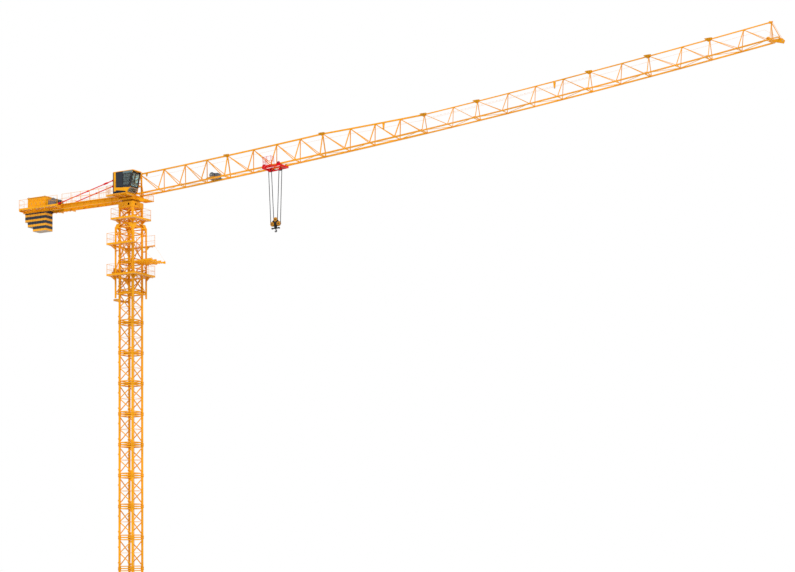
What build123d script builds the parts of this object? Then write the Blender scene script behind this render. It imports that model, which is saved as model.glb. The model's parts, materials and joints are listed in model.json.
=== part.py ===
"""Self-climbing flat-top tower crane, scale model at 1:2.

Millimetres of the model: 500 mm here is one metre of the real crane.
Origin on the tower axis at ground level, +X along the jib, +Z up, cab on the -Y side.
"""
import math
import os

from build123d import *

os.makedirs("parts", exist_ok=True)

# Fits
RUN_GAP = 6.0            # clear space around anything that slides or turns
SLIP = 2.0               # loose fit of a fixed piece
SEAT = 0.3               # running seat of a bearing, nut or rope in its groove
RAIL_SEAT = 0.8          # wheel above its ledge, measured on the true arc

# Mast
LEG_PITCH = 725.0        # leg centre to leg centre
LEG = 75.0               # square leg tube
SECTION_HEIGHT = 1400.0
MAST_SECTIONS = 13
BASE_TOP = 550.0         # underside of the first section
COLLAR = 100.0           # joint sleeve on each leg end
COLLAR_HEIGHT = 80.0
BELT = 44.0              # ring bar near each section end
BRACE = 36.0             # zigzag diagonal
LUG_DEPTH = 40.0         # climbing lugs on the rear legs
LUG_TOPS = (300.0, 1000.0)

# Base
GIRDER_HEIGHT = 300.0
GIRDER_FLANGE = 180.0
GIRDER_PLATE = 28.0
GIRDER_REACH = 1180.0    # half length along the diagonal
ANCHOR_RADIUS = 1120.0
ANCHOR_SPREAD = 64.0     # hole offset from the girder centre line
ANCHOR_HOLE = 15.0
STRUT = 70.0

# Climbing cage
CAGE_PITCH = 990.0
CAGE_LEG = 75.0
CAGE_BOTTOM = 15650.0
CAGE_RING_HEIGHT = 70.0
HAUNCH_FOOT = 85.0       # arched plates spring this far below the ring bar underside line
HAUNCH_RISE = 150.0      # and their sloped shoulders rise this far above the legs
HAUNCH_PLATE = 20.0
CAGE_BAR = 50.0
CAGE_BRACE = 36.0
DECK_REACH = 792.0       # half width of the cage platforms
DECK_THICK = 24.0
LOWER_DECK = 16690.0
UPPER_DECK = 18125.0
RAIL_HEIGHT = 520.0
RAIL = 11.0
POST = 14.0
FEED_REACH = 1570.0      # outer end of the introduction rails
FEED_LEVEL = 17270.0
FEED_BEAM = 60.0
FEED_INNER = 170.0       # inner pair of rails, off the centre line
FEED_CROSS_HEIGHT = 44.0

# Climbing jack
JACK_X = -625.0
BARREL_RADIUS = 62.0
ROD_RADIUS = 34.0
BARREL_TOP = 16900.0
BARREL_BOTTOM = 15760.0
CROSSHEAD_HEIGHT = 86.0

# Slewing
TRANSITION_TOP = 19850.0
SUPPORT_DECK = 19305.0
SUPPORT_DECK_REACH = 660.0
SUPPORT_HALF = 410.0
SUPPORT_HEIGHT = 250.0
RING_OUTER = 400.0
RING_SPLIT = 330.0
RING_INNER = 250.0
RING_HEIGHT = 78.0
RING_LIP = 20.0          # height of the outer race's inward lip, which carries the inner race
RING_LIP_INNER = 300.0
TABLE_HALF = 430.0
TABLE_HEIGHT = 200.0

# Tower head
HEAD_FRONT = 400.0
HEAD_REAR = -350.0
HEAD_SIDE = 275.0
HEAD_LEG = 60.0
HEAD_BRACE = 40.0
JIB_ROOT = 480.0
TIE_TOP_X = -420.0
TIE_TOP_Z = 21275.0

# Jib
JIB_JOINTS = (480.0, 5300.0, 10250.0, 15220.0, 17700.0, 22700.0, 25190.0, 27690.0, 30150.0)
JIB_PANELS = (4, 4, 4, 2, 4, 2, 2, 2)
JIB_ARC = 425000.0       # radius of the bottom chord's upward sweep
JIB_ARC_X = -21455.0     # the arc's centre lies this far along X
JIB_START_Z = 20400.0    # bottom chord centre above the tower axis
JIB_HALF_WIDTH = 250.0
JIB_DEPTH_ROOT = 950.0
JIB_DEPTH_TIP = 725.0
CHORD = 70.0
TOP_CHORD_ROOT = 70.0
TOP_CHORD_TIP = 56.0
WEB_ROOT = 38.0
WEB_TIP = 30.0
CROSS_BAR = 40.0
LACING = 24.0
NODE_INSET = 45.0        # end nodes stand back from the joint plane
TOP_NODE_LEAD = 165.0    # inner top nodes sit this far outboard of the bottom ones
KNUCKLE = 100.0
LEDGE = 36.0             # running ledge on the outer face of each bottom chord
LEDGE_HEIGHT = 20.0

# Counter-jib
BEAM_Y = 300.0
BEAM_HEIGHT = 200.0
BEAM_FLANGE = 70.0
BEAM_PLATE = 16.0
BEAM_TOP = 20390.0
COUNTER_END = -6100.0
CROSS_STEP = 810.0
REAR_DECK_FRONT = -3735.0
REAR_DECK_END = -6040.0
REAR_DECK_HALF = 700.0
REAR_DECK_TOP = 20310.0
TIE_FOOT_X = -4000.0
TIE_FOOT_Z = 20455.0
TIE = 36.0

# Trolley and hook
TROLLEY_X = 7850.0
TROLLEY_HALF = 475.0
WHEEL_RADIUS = 45.0
WHEEL_WIDTH = 22.0
WHEEL_X = 370.0
SIDE_PLATE = 16.0
TROLLEY_SHEAVE_X = 270.0
GROOVE = 16.0
TROLLEY_SHEAVE = 84.0
ROPE_RADIUS = 5.0
HOOK_SHEAVE = 105.0
HOOK_SHEAVE_X = 162.0
HOOK_DROP = 2570.0       # bottom chords at the trolley down to the block's lower sheaves
TOP_SHEAVE_RISE = 188.0
SWIVEL_DROP = 160.0      # lower sheaves down to the face that the hook nut turns on
HOOK_LENGTH = 215.0      # from that face to the hook's foot
SHEAVE_WIDTH = 36.0
CHEEK = 12.0

# Derived values
leg = LEG_PITCH / 2
cage_leg = CAGE_PITCH / 2
mast_top = BASE_TOP + MAST_SECTIONS * SECTION_HEIGHT
cage_outer = cage_leg + CAGE_LEG / 2
ring_foot = TRANSITION_TOP + SUPPORT_HEIGHT
table_foot = ring_foot + RING_HEIGHT + RUN_GAP
table_top = table_foot + TABLE_HEIGHT
lug_seat = BASE_TOP + 10 * SECTION_HEIGHT + LUG_TOPS[1]
arc_centre_z = JIB_START_Z + math.sqrt(JIB_ARC ** 2 - JIB_ARC_X ** 2)
rope_line = HOOK_SHEAVE - GROOVE + ROPE_RADIUS + SEAT
top_line = TROLLEY_SHEAVE - GROOVE + ROPE_RADIUS + SEAT
fall_foot = (HOOK_SHEAVE_X + rope_line, rope_line)
SIGNS = ((-1, -1), (1, -1), (1, 1), (-1, 1))


def chord_z(x, offset=0.0):
    """Height of the bottom chord's arc at x, moved off the arc by offset towards its centre."""
    return arc_centre_z - math.sqrt((JIB_ARC - offset) ** 2 - (x - JIB_ARC_X) ** 2)


def jib_depth(x):
    """Chord to chord depth: constant, tapering over the third section, constant again."""
    share = (x - JIB_JOINTS[2]) / (JIB_JOINTS[3] - JIB_JOINTS[2])
    share = min(1.0, max(0.0, share))
    return JIB_DEPTH_ROOT + share * (JIB_DEPTH_TIP - JIB_DEPTH_ROOT)


def block(x_range, y_range, z_range):
    """Box between the given limits, made on its own."""
    centre = tuple((low + high) / 2 for low, high in (x_range, y_range, z_range))
    with BuildPart(mode=Mode.PRIVATE) as piece:
        with Locations(centre):
            Box(x_range[1] - x_range[0], y_range[1] - y_range[0], z_range[1] - z_range[0])
    return piece.part


def bar(start, end, width, depth=None):
    """Straight rectangular bar from one point to another, its width kept level."""
    run = Vector(*end) - Vector(*start)
    level = Vector(-run.Y, run.X, 0)
    if level.length < 1e-6:
        level = Vector(1, 0, 0)
    with BuildPart(mode=Mode.PRIVATE) as piece:
        with BuildSketch(Plane(origin=start, x_dir=level, z_dir=run)):
            Rectangle(width, depth or width)
        extrude(amount=run.length)
    return piece.part


def side_plate(points, y_range):
    """Plate with a side-view outline in X and Z, between two Y planes."""
    with BuildPart(mode=Mode.PRIVATE) as piece:
        with BuildSketch(Plane.XZ.offset(-y_range[0])):
            with BuildLine():
                Polyline(*points, close=True)
            make_face()
        extrude(amount=y_range[0] - y_range[1])
    return piece.part


def disc(centre, radius, width, axis, bore=0.0):
    """Round disc or tube along a named axis."""
    plane = Plane(origin=centre, z_dir=axis)
    with BuildPart(mode=Mode.PRIVATE) as piece:
        with BuildSketch(plane):
            Circle(radius)
            if bore:
                Circle(bore, mode=Mode.SUBTRACT)
        extrude(amount=width / 2, both=True)
    return piece.part


def sheave(centre, radius, width, bore):
    """Rope sheave turning about Y: a disc with a flat-bottomed groove in its rim and a bore."""
    half = width / 2
    with BuildPart(mode=Mode.PRIVATE) as piece:
        with BuildSketch(Plane(origin=centre, x_dir=(0, 1, 0), z_dir=(1, 0, 0))):
            with BuildLine():
                Polyline((-half, bore), (half, bore), (half, radius), (half - 4, radius), (half - 7, radius - GROOVE),
                         (7 - half, radius - GROOVE), (4 - half, radius), (-half, radius), close=True)
            make_face()
        revolve(axis=Axis(centre, (0, 1, 0)))
    return piece.part


def save(piece, name):
    """Name a finished sub-part and write its STEP file."""
    piece.part.label = name
    export_step(piece.part, f"parts/{name}.step")


def ring_rails(reach, floor, height, sides, posts):
    """Hand rail bars round a square platform: posts and a top rail on each named side."""
    pieces = []
    edge = reach - POST
    for side in sides:
        turn = {"+x": 0, "+y": 90, "-x": 180, "-y": 270}[side]
        for place in posts:
            spot = Vector(edge, place * edge, 0).rotate(Axis.Z, turn)
            pieces.append(bar((spot.X, spot.Y, floor), (spot.X, spot.Y, floor + height), POST))
        first = Vector(edge, -edge, 0).rotate(Axis.Z, turn)
        last = Vector(edge, edge, 0).rotate(Axis.Z, turn)
        for level in (height - RAIL / 2, height * 0.52):
            pieces.append(bar((first.X, first.Y, floor + level), (last.X, last.Y, floor + level), RAIL))
    return pieces


# Foundation cross: one whole girder and two half girders bolted against its middle
def girder(start, end):
    """I-girder lying along X before it is turned to the diagonal."""
    half = GIRDER_FLANGE / 2
    return [
        block((start, end), (-half, half), (0, GIRDER_PLATE)),
        block((start, end), (-half, half), (GIRDER_HEIGHT - GIRDER_PLATE, GIRDER_HEIGHT)),
        block((start, end), (-GIRDER_PLATE / 2, GIRDER_PLATE / 2), (0, GIRDER_HEIGHT)),
    ]


def leg_shoe(reach):
    """Box on the girder under one mast leg, square to the mast once the girder is turned."""
    with BuildPart(mode=Mode.PRIVATE) as shoe:
        with Locations(Location((reach, 0, (GIRDER_HEIGHT + BASE_TOP) / 2), (0, 0, 45))):
            Box(COLLAR, COLLAR, BASE_TOP - GIRDER_HEIGHT)
    return shoe.part


def anchor_holes(reaches):
    """Vertical drillings through the bottom flange for the anchor bolts."""
    holes = []
    for reach in reaches:
        for side in (-1, 1):
            holes.append(disc((reach, side * ANCHOR_SPREAD, 0), ANCHOR_HOLE, 3 * GIRDER_PLATE, (0, 0, 1)))
    return holes


diagonal = leg * math.sqrt(2)
middle = GIRDER_FLANGE / 2
whole = girder(-GIRDER_REACH, GIRDER_REACH)
whole += [block((-150, 150), (-middle, middle), (0, GIRDER_HEIGHT)), leg_shoe(diagonal), leg_shoe(-diagonal)]
whole_drillings = anchor_holes((-ANCHOR_RADIUS, ANCHOR_RADIUS))
with BuildPart() as whole_girder:
    with Locations(Location((0, 0, 0), (0, 0, 45))):
        add(whole)
        add(whole_drillings, mode=Mode.SUBTRACT)
save(whole_girder, "foundation_girder")

half = girder(middle, GIRDER_REACH)
half += [block((middle, middle + GIRDER_PLATE), (-middle, middle), (0, GIRDER_HEIGHT)), leg_shoe(diagonal)]
half_drillings = anchor_holes((ANCHOR_RADIUS,))
with BuildPart() as half_girders:
    with Locations(Location((0, 0, 0), (0, 0, -45)), Location((0, 0, 0), (0, 0, 135))):
        add(half)
        add(half_drillings, mode=Mode.SUBTRACT)
save(half_girders, "foundation_half_girders")

# Base struts: from the girder ends up to the first section's legs
strut_foot = GIRDER_REACH - 220
strut_head = BASE_TOP + SECTION_HEIGHT - 260
struts = []
for sign_x, sign_y in SIGNS:
    unit = math.sqrt(0.5)
    foot = (sign_x * strut_foot * unit, sign_y * strut_foot * unit, GIRDER_HEIGHT)
    head = (sign_x * (leg + 65), sign_y * (leg + 65), strut_head)
    with BuildPart() as strut:
        add(bar(foot, head, STRUT))
        with Locations(Location((foot[0], foot[1], GIRDER_HEIGHT), (0, 0, 45))):
            Box(170, 170, 60)
        with Locations((sign_x * (leg + 35), sign_y * (leg + 35), strut_head)):
            Box(110, 110, 150)
        with Locations((0, 0, strut_head)):
            Box(LEG_PITCH + LEG, LEG_PITCH + LEG, 2000, mode=Mode.SUBTRACT)
        with Locations((0, 0, GIRDER_HEIGHT - 500)):
            Box(4000, 4000, 1000, mode=Mode.SUBTRACT)
    struts.append(strut.part)
with BuildPart() as base_struts:
    add(struts)
save(base_struts, "base_struts")

# One mast section, at ground level, then set on its place in the stack
top = SECTION_HEIGHT
bars = []
for sign_x, sign_y in SIGNS:
    spot = (sign_x * leg, sign_y * leg)
    bars.append(block((spot[0] - LEG / 2, spot[0] + LEG / 2), (spot[1] - LEG / 2, spot[1] + LEG / 2), (0, top)))
    for low in (0.0, top - COLLAR_HEIGHT):
        bars.append(block((spot[0] - COLLAR / 2, spot[0] + COLLAR / 2), (spot[1] - COLLAR / 2, spot[1] + COLLAR / 2),
                          (low, low + COLLAR_HEIGHT)))
for number in range(4):
    here = SIGNS[number]
    there = SIGNS[(number + 1) % 4]
    for level in (COLLAR_HEIGHT + BELT / 2, top - COLLAR_HEIGHT - BELT / 2):
        bars.append(bar((here[0] * leg, here[1] * leg, level), (there[0] * leg, there[1] * leg, level), BELT))
    waist = (here[0] * leg, here[1] * leg, top / 2)
    for level in (COLLAR_HEIGHT + BELT, top - COLLAR_HEIGHT - BELT):
        bars.append(bar((there[0] * leg, there[1] * leg, level), waist, BRACE))
for sign_y in (-1, 1):
    for level in LUG_TOPS:
        bars.append(block((-leg - LEG / 2 - LUG_DEPTH, -leg), (sign_y * leg - 25, sign_y * leg + 25), (level - 70, level)))
with BuildPart() as mast_module:
    add(bars)

for name, first in (("mast_sections_odd", 0), ("mast_sections_even", 1)):
    with BuildPart() as mast_sections:
        with Locations([(0, 0, BASE_TOP + number * SECTION_HEIGHT) for number in range(first, MAST_SECTIONS, 2)]):
            add(mast_module.part)
    save(mast_sections, name)

# Jack rod and crosshead: they rest on the mast lugs while the cage climbs
rod_top = BARREL_TOP - 60
with BuildPart() as jack_rod:
    add(disc((JACK_X, 0, (lug_seat + rod_top) / 2), ROD_RADIUS, rod_top - lug_seat, (0, 0, 1)))
    add(block((JACK_X - 60, JACK_X + 60), (-leg - 40, leg + 40), (lug_seat, lug_seat + CROSSHEAD_HEIGHT)))
    for sign_y in (-1, 1):
        add(block((JACK_X - 60, -leg - LEG / 2 - SLIP), (sign_y * leg - 30, sign_y * leg + 30),
                  (lug_seat, lug_seat + CROSSHEAD_HEIGHT)))
save(jack_rod, "jack_rod")

# Climbing cage: two flat side frames with the legs, and the cross frames between them
ring_low = mast_top + 115
cage_top = ring_low + CAGE_RING_HEIGHT
levels = (CAGE_BOTTOM + 210, 16970.0, cage_top - CAGE_RING_HEIGHT / 2)
cage_inner = cage_leg - CAGE_LEG / 2


def haunch(turn):
    """Arched plate over one side of the cage, with shoulders that slope in to the transition section."""
    foot = ring_low - HAUNCH_FOOT
    shoulder = leg + LEG / 2 + 25
    crown = cage_top + HAUNCH_RISE
    with BuildPart(mode=Mode.PRIVATE) as plate:
        with BuildSketch(Plane.XZ.offset(cage_leg)):
            with BuildLine():
                Polyline((-cage_inner, foot), (-cage_outer, foot), (-cage_outer, cage_top), (-shoulder, crown),
                         (shoulder, crown), (cage_outer, cage_top), (cage_outer, foot), (cage_inner, foot))
                ThreePointArc((cage_inner, foot), (0, ring_low), (-cage_inner, foot))
            make_face()
        extrude(amount=HAUNCH_PLATE / 2, both=True)
    return plate.part.rotate(Axis.Z, turn)


def cage_frame(start, end, spans, belts):
    """Bars of one flat cage frame: belts and crossed braces in each span."""
    pieces = []
    for level, height in belts:
        pieces.append(bar((*start, level), (*end, level), CAGE_LEG if height > CAGE_BAR else CAGE_BAR, height))
    inward = Vector(end[0] - start[0], end[1] - start[1], 0).normalized()
    near = (start[0] + inward.X * CAGE_LEG / 2, start[1] + inward.Y * CAGE_LEG / 2)
    away = (end[0] - inward.X * CAGE_LEG / 2, end[1] - inward.Y * CAGE_LEG / 2)
    for low, high in spans:
        pieces.append(bar((*near, low), (*away, high), CAGE_BRACE))
        pieces.append(bar((*away, low), (*near, high), CAGE_BRACE))
    return pieces


all_belts = tuple(zip(levels, (CAGE_BAR, CAGE_BAR, CAGE_RING_HEIGHT)))
all_spans = tuple(zip(levels, levels[1:]))
side_bars = []
for sign_x, sign_y in SIGNS:
    side_bars.append(block((sign_x * cage_leg - CAGE_LEG / 2, sign_x * cage_leg + CAGE_LEG / 2),
                           (sign_y * cage_leg - CAGE_LEG / 2, sign_y * cage_leg + CAGE_LEG / 2),
                           (CAGE_BOTTOM, cage_top)))
for side in (-1, 1):
    side_bars += cage_frame((-cage_leg, side * cage_leg), (cage_leg, side * cage_leg), all_spans, all_belts)
    side_bars.append(haunch(90 - 90 * side))
with BuildPart() as climbing_cage:
    add(side_bars)
save(climbing_cage, "climbing_cage")

# Rear frame whole; the front is open above its middle belt, where mast sections are fed in
rear = ((-cage_leg, -cage_leg), (-cage_leg, cage_leg))
front = ((cage_leg, -cage_leg), (cage_leg, cage_leg))
cross_bars = cage_frame(*rear, all_spans, all_belts)
cross_bars += cage_frame(*front, all_spans[:1], all_belts[:2])
cross_bars += cage_frame(*front, (), all_belts[2:])
with BuildPart() as cage_cross_frames:
    add(cross_bars)
    add([haunch(90), haunch(-90)])
    add(block((-cage_leg - CAGE_LEG, cage_leg + CAGE_LEG), (-cage_inner, cage_inner),
              (CAGE_BOTTOM - 100, cage_top + HAUNCH_RISE + 100)), mode=Mode.INTERSECT)
save(cage_cross_frames, "cage_cross_frames")


def deck_panel(level, turn, half_length, notch):
    """Deck strip along one side of the cage, with a gusset under it on each leg, turned to its side."""
    low = level - DECK_THICK
    with BuildPart(mode=Mode.PRIVATE) as deck:
        add(block((cage_outer, DECK_REACH), (-half_length, half_length), (low, level)))
        if notch:
            add(block((cage_outer - 1, BARREL_RADIUS + 30 - JACK_X), (-BARREL_RADIUS - 30, BARREL_RADIUS + 30),
                      (low - 1, level + 1)), mode=Mode.SUBTRACT)
        gusset = [(cage_outer, low), (DECK_REACH - 30, low), (cage_outer, low - 200)]
        add([side_plate(gusset, (side * cage_leg - 10, side * cage_leg + 10)) for side in (-1, 1)])
    return deck.part.rotate(Axis.Z, turn)


def rail_panel(level, turn, half_length, posts):
    """Guard rail along one deck strip: posts and two rails, turned to its side."""
    edge = DECK_REACH - POST
    pieces = [bar((edge, place, level), (edge, place, level + RAIL_HEIGHT), POST) for place in posts]
    for up in (RAIL_HEIGHT - RAIL / 2, RAIL_HEIGHT * 0.52):
        pieces.append(bar((edge, -half_length, level + up), (edge, half_length, level + up), RAIL))
    with BuildPart(mode=Mode.PRIVATE) as panel:
        add(pieces)
    return panel.part.rotate(Axis.Z, turn)


# The side strips run the whole length, the front and rear strips stop between them
across = cage_outer - SLIP
strips = [deck_panel(level, turn, DECK_REACH, False) for level in (LOWER_DECK, UPPER_DECK) for turn in (90, 270)]
strips += [deck_panel(LOWER_DECK, 0, across, False), deck_panel(LOWER_DECK, 180, across, True)]
strips.append(deck_panel(UPPER_DECK, 180, across, False))
with BuildPart() as cage_platforms:
    add(strips)
save(cage_platforms, "cage_platforms")

corner = DECK_REACH - POST
short = corner - POST / 2 - SLIP
side_posts = (-corner, -0.34 * corner, 0.34 * corner, corner)
end_posts = (-0.34 * corner, 0.34 * corner)
panels = [rail_panel(level, turn, corner, side_posts) for level in (LOWER_DECK, UPPER_DECK) for turn in (90, 270)]
panels += [rail_panel(LOWER_DECK, turn, short, end_posts) for turn in (0, 180)]
panels.append(rail_panel(UPPER_DECK, 180, short, end_posts))
with BuildPart() as cage_rails:
    add(panels)
save(cage_rails, "cage_guard_rails")

# Introduction rails: mast sections are run in on them through the open front
rail_low = FEED_LEVEL - FEED_BEAM / 2
rail_high = FEED_LEVEL + FEED_BEAM / 2
beam_places = (cage_outer + 68, (cage_outer + FEED_REACH) / 2, FEED_REACH - 30)
with BuildPart() as feed_rails:
    for side in (-1, 1):
        add(block((cage_outer, FEED_REACH), (side * cage_leg - FEED_BEAM / 2, side * cage_leg + FEED_BEAM / 2),
                  (rail_low, rail_high)))
        add(block((cage_outer + 38, FEED_REACH), (side * FEED_INNER - 20, side * FEED_INNER + 20), (rail_low, rail_high)))
save(feed_rails, "introduction_rails")

with BuildPart() as feed_beams:
    for x in beam_places:
        add(block((x - 30, x + 30), (-cage_leg - FEED_BEAM / 2, cage_leg + FEED_BEAM / 2),
                  (rail_low - FEED_CROSS_HEIGHT, rail_low)))
save(feed_beams, "introduction_cross_beams")

# Jack barrel hung from a bracket on the cage's rear belt
with BuildPart() as jack_barrel:
    add(disc((JACK_X, 0, (BARREL_BOTTOM + BARREL_TOP) / 2), BARREL_RADIUS, BARREL_TOP - BARREL_BOTTOM, (0, 0, 1)))
    add(block((JACK_X - 80, -cage_leg - CAGE_BAR / 2), (-90, 90), (BARREL_TOP - 20, BARREL_TOP + 130)))
    add(disc((JACK_X, 0, (BARREL_BOTTOM + BARREL_TOP) / 2 - 30), ROD_RADIUS + RUN_GAP,
             BARREL_TOP - BARREL_BOTTOM - 40, (0, 0, 1)), mode=Mode.SUBTRACT)
save(jack_barrel, "jack_barrel")

# Transition section between the mast top and the slewing support
bars = []
for sign_x, sign_y in SIGNS:
    bars.append(block((sign_x * leg - LEG / 2, sign_x * leg + LEG / 2), (sign_y * leg - LEG / 2, sign_y * leg + LEG / 2),
                      (mast_top, TRANSITION_TOP)))
    hang = cage_leg - CAGE_LEG / 2
    bars.append(block(sorted((sign_x * leg, sign_x * hang)), (sign_y * leg - 25, sign_y * leg + 25),
                      (cage_top - 115, cage_top - 15)))
    bars.append(block((sign_x * leg - 25, sign_x * leg + 25), sorted((sign_y * leg, sign_y * hang)),
                      (cage_top - 115, cage_top - 15)))
for number in range(4):
    here = SIGNS[number]
    there = SIGNS[(number + 1) % 4]
    start = (here[0] * leg, here[1] * leg)
    end = (there[0] * leg, there[1] * leg)
    for level in (mast_top + 240, SUPPORT_DECK + 60, TRANSITION_TOP - BELT / 2):
        bars.append(bar((*start, level), (*end, level), BELT))
    for low, high in ((mast_top + 240, SUPPORT_DECK + 60), (SUPPORT_DECK + 60, TRANSITION_TOP - BELT)):
        bars.append(bar((*start, low), (*end, high), BRACE))
        bars.append(bar((*end, low), (*start, high), BRACE))
with BuildPart() as transition:
    add(bars)
save(transition, "transition_section")

deck_inner = leg + LEG / 2
with BuildPart() as support_platform:
    low = SUPPORT_DECK - DECK_THICK
    add(block((-SUPPORT_DECK_REACH, SUPPORT_DECK_REACH), (-SUPPORT_DECK_REACH, SUPPORT_DECK_REACH), (low, SUPPORT_DECK)))
    add(block((-deck_inner, deck_inner), (-deck_inner, deck_inner), (low - 1, SUPPORT_DECK + 1)), mode=Mode.SUBTRACT)
    gusset = [(deck_inner, low), (SUPPORT_DECK_REACH - 40, low), (deck_inner, low - 170)]
    for turn in (0, 90, 180, 270):
        for side in (-1, 1):
            plate = side_plate(gusset, (side * leg - 10, side * leg + 10))
            add(plate.rotate(Axis.Z, turn))
save(support_platform, "support_platform")

with BuildPart() as support_rails:
    add(ring_rails(SUPPORT_DECK_REACH, SUPPORT_DECK, 500, ("+x", "-y", "-x", "+y"), (-1, 0)))
save(support_rails, "support_guard_rails")

# Lower slewing support: a box with arched openings in its four sides
with BuildPart() as lower_support:
    add(block((-SUPPORT_HALF, SUPPORT_HALF), (-SUPPORT_HALF, SUPPORT_HALF), (TRANSITION_TOP, ring_foot)))
    add(block((-SUPPORT_HALF + 30, SUPPORT_HALF - 30), (-SUPPORT_HALF + 30, SUPPORT_HALF - 30),
              (TRANSITION_TOP + 30, ring_foot - 30)), mode=Mode.SUBTRACT)
    add(disc((0, 0, ring_foot), RING_INNER - 20, 400, (0, 0, 1)), mode=Mode.SUBTRACT)
    for plane in (Plane.XZ, Plane.YZ):
        with BuildSketch(Plane(origin=(0, 0, TRANSITION_TOP + 120), x_dir=plane.x_dir, z_dir=plane.z_dir)):
            for side in (-1, 1):
                with Locations((side * 180, 0)):
                    RegularPolygon(92, 8, rotation=22.5)
                with Locations((side * 180, -40)):
                    Rectangle(168, 80)
        extrude(amount=600, both=True, mode=Mode.SUBTRACT)
save(lower_support, "lower_slewing_support")

with BuildPart() as outer_race:
    add(disc((0, 0, ring_foot + RING_HEIGHT / 2 - RUN_GAP / 2), RING_OUTER, RING_HEIGHT - RUN_GAP, (0, 0, 1), RING_SPLIT))
    add(disc((0, 0, ring_foot + RING_LIP / 2), RING_SPLIT + 20, RING_LIP, (0, 0, 1), RING_LIP_INNER))
save(outer_race, "slewing_ring_outer")

inner_foot = ring_foot + RING_LIP + SEAT
with BuildPart() as inner_race:
    add(disc((0, 0, (inner_foot + table_foot) / 2), RING_SPLIT - RUN_GAP, table_foot - inner_foot, (0, 0, 1), RING_INNER))
save(inner_race, "slewing_ring_inner")

# Turntable on the inner race
with BuildPart() as turntable:
    add(block((-TABLE_HALF, TABLE_HALF), (-TABLE_HALF, TABLE_HALF), (table_foot, table_top)))
    add(block((-TABLE_HALF + 60, TABLE_HALF - 60), (-TABLE_HALF - 1, TABLE_HALF + 1), (table_foot + 70, table_top - 50)),
        mode=Mode.SUBTRACT)
    add(disc((0, 0, table_foot), RING_INNER - 20, 100, (0, 0, 1)), mode=Mode.SUBTRACT)
    add([block((-TABLE_HALF + 20, TABLE_HALF - 20), (y - 15, y + 15), (table_foot, table_top)) for y in (-300, 300)])
save(turntable, "turntable")

with BuildPart() as slew_drives:
    for x, y in ((150, 110), (-150, -110)):
        add(disc((x, y, table_top + 150), 55, 300, (0, 0, 1)))
        add(disc((x, y, table_top + 25), 80, 50, (0, 0, 1)))
save(slew_drives, "slewing_drives")

# Tower head: short frame that takes the jib root, the tie bars and the counter-jib
root_low = chord_z(JIB_ROOT)
root_high = root_low + jib_depth(JIB_ROOT)
bars = []
for side in (-1, 1):
    y = side * HEAD_SIDE
    bars.append(bar((HEAD_FRONT, y, table_top), (HEAD_FRONT, y, root_high + 40), HEAD_LEG))
    bars.append(bar((HEAD_REAR, y, table_top), (HEAD_REAR, y, TIE_TOP_Z + 40), HEAD_LEG))
    bars.append(bar((HEAD_FRONT, y, root_high), (HEAD_REAR, y, TIE_TOP_Z), HEAD_BRACE))
    bars.append(bar((HEAD_FRONT, y, table_top + 480), (HEAD_REAR, y, table_top + 480), HEAD_BRACE))
    bars.append(bar((HEAD_FRONT, y, table_top + 60), (HEAD_REAR, y, table_top + 480), HEAD_BRACE))
    bars.append(bar((HEAD_REAR, y, table_top + 480), (HEAD_FRONT, y, root_high), HEAD_BRACE))
    bars.append(block((HEAD_FRONT, JIB_ROOT), (side * JIB_HALF_WIDTH - 30, side * JIB_HALF_WIDTH + 30),
                      (root_low - 30, root_low + 30)))
    bars.append(block((TIE_TOP_X, HEAD_REAR), (side * BEAM_Y - 22, side * BEAM_Y + 22), (TIE_TOP_Z - 40, TIE_TOP_Z + 40)))
for x, level in ((HEAD_FRONT, root_high), (HEAD_REAR, TIE_TOP_Z), (HEAD_FRONT, table_top + 480)):
    bars.append(bar((x, -HEAD_SIDE, level), (x, HEAD_SIDE, level), HEAD_LEG))
bars.append(block((HEAD_FRONT, JIB_ROOT), (-30, 30), (root_high - 30, root_high + 30)))
with BuildPart() as tower_head:
    add(bars)
save(tower_head, "tower_head")

# Cab beside the tower head, on its own platform
cab_near = -950.0
cab_far = -345.0
cab_floor = table_top + 6
cab_wall = 16.0
cab_outline = [(-285, cab_floor), (460, cab_floor), (655, cab_floor + 210), (815, cab_floor + 945), (-295, cab_floor + 945)]
cab_hollow = [(-268, cab_floor + 20), (450, cab_floor + 20), (636, cab_floor + 220), (790, cab_floor + 915),
              (-278, cab_floor + 915)]
side_window = [(40, cab_floor + 330), (610, cab_floor + 330), (716, cab_floor + 860), (40, cab_floor + 860)]
rear_window = [(-235, cab_floor + 400), (-25, cab_floor + 400), (-25, cab_floor + 860), (-238, cab_floor + 860)]
with BuildPart() as cab_body:
    add(side_plate(cab_outline, (cab_near, cab_far)))
    add(side_plate(cab_hollow, (cab_near + cab_wall, cab_far - cab_wall)), mode=Mode.SUBTRACT)
    for window in (side_window, rear_window):
        add(side_plate(window, (cab_near - 10, cab_far + 10)), mode=Mode.SUBTRACT)
    add(side_plate([(500, cab_floor + 275), (900, cab_floor + 275), (900, cab_floor + 880), (500, cab_floor + 880)],
                   (cab_near + 40, cab_far - 40)), mode=Mode.SUBTRACT)
    add(side_plate([(480, cab_floor + 60), (700, cab_floor + 60), (700, cab_floor + 205), (480, cab_floor + 205)],
                   (cab_near + 40, cab_far - 40)), mode=Mode.SUBTRACT)
save(cab_body, "cab_body")


def front_edge(level):
    """Place along X of the cab's front faces at a height above the cab floor."""
    if level < 210:
        return 460 + (655 - 460) * level / 210
    return 655 + (815 - 655) * (level - 210) / (945 - 210)


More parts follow.
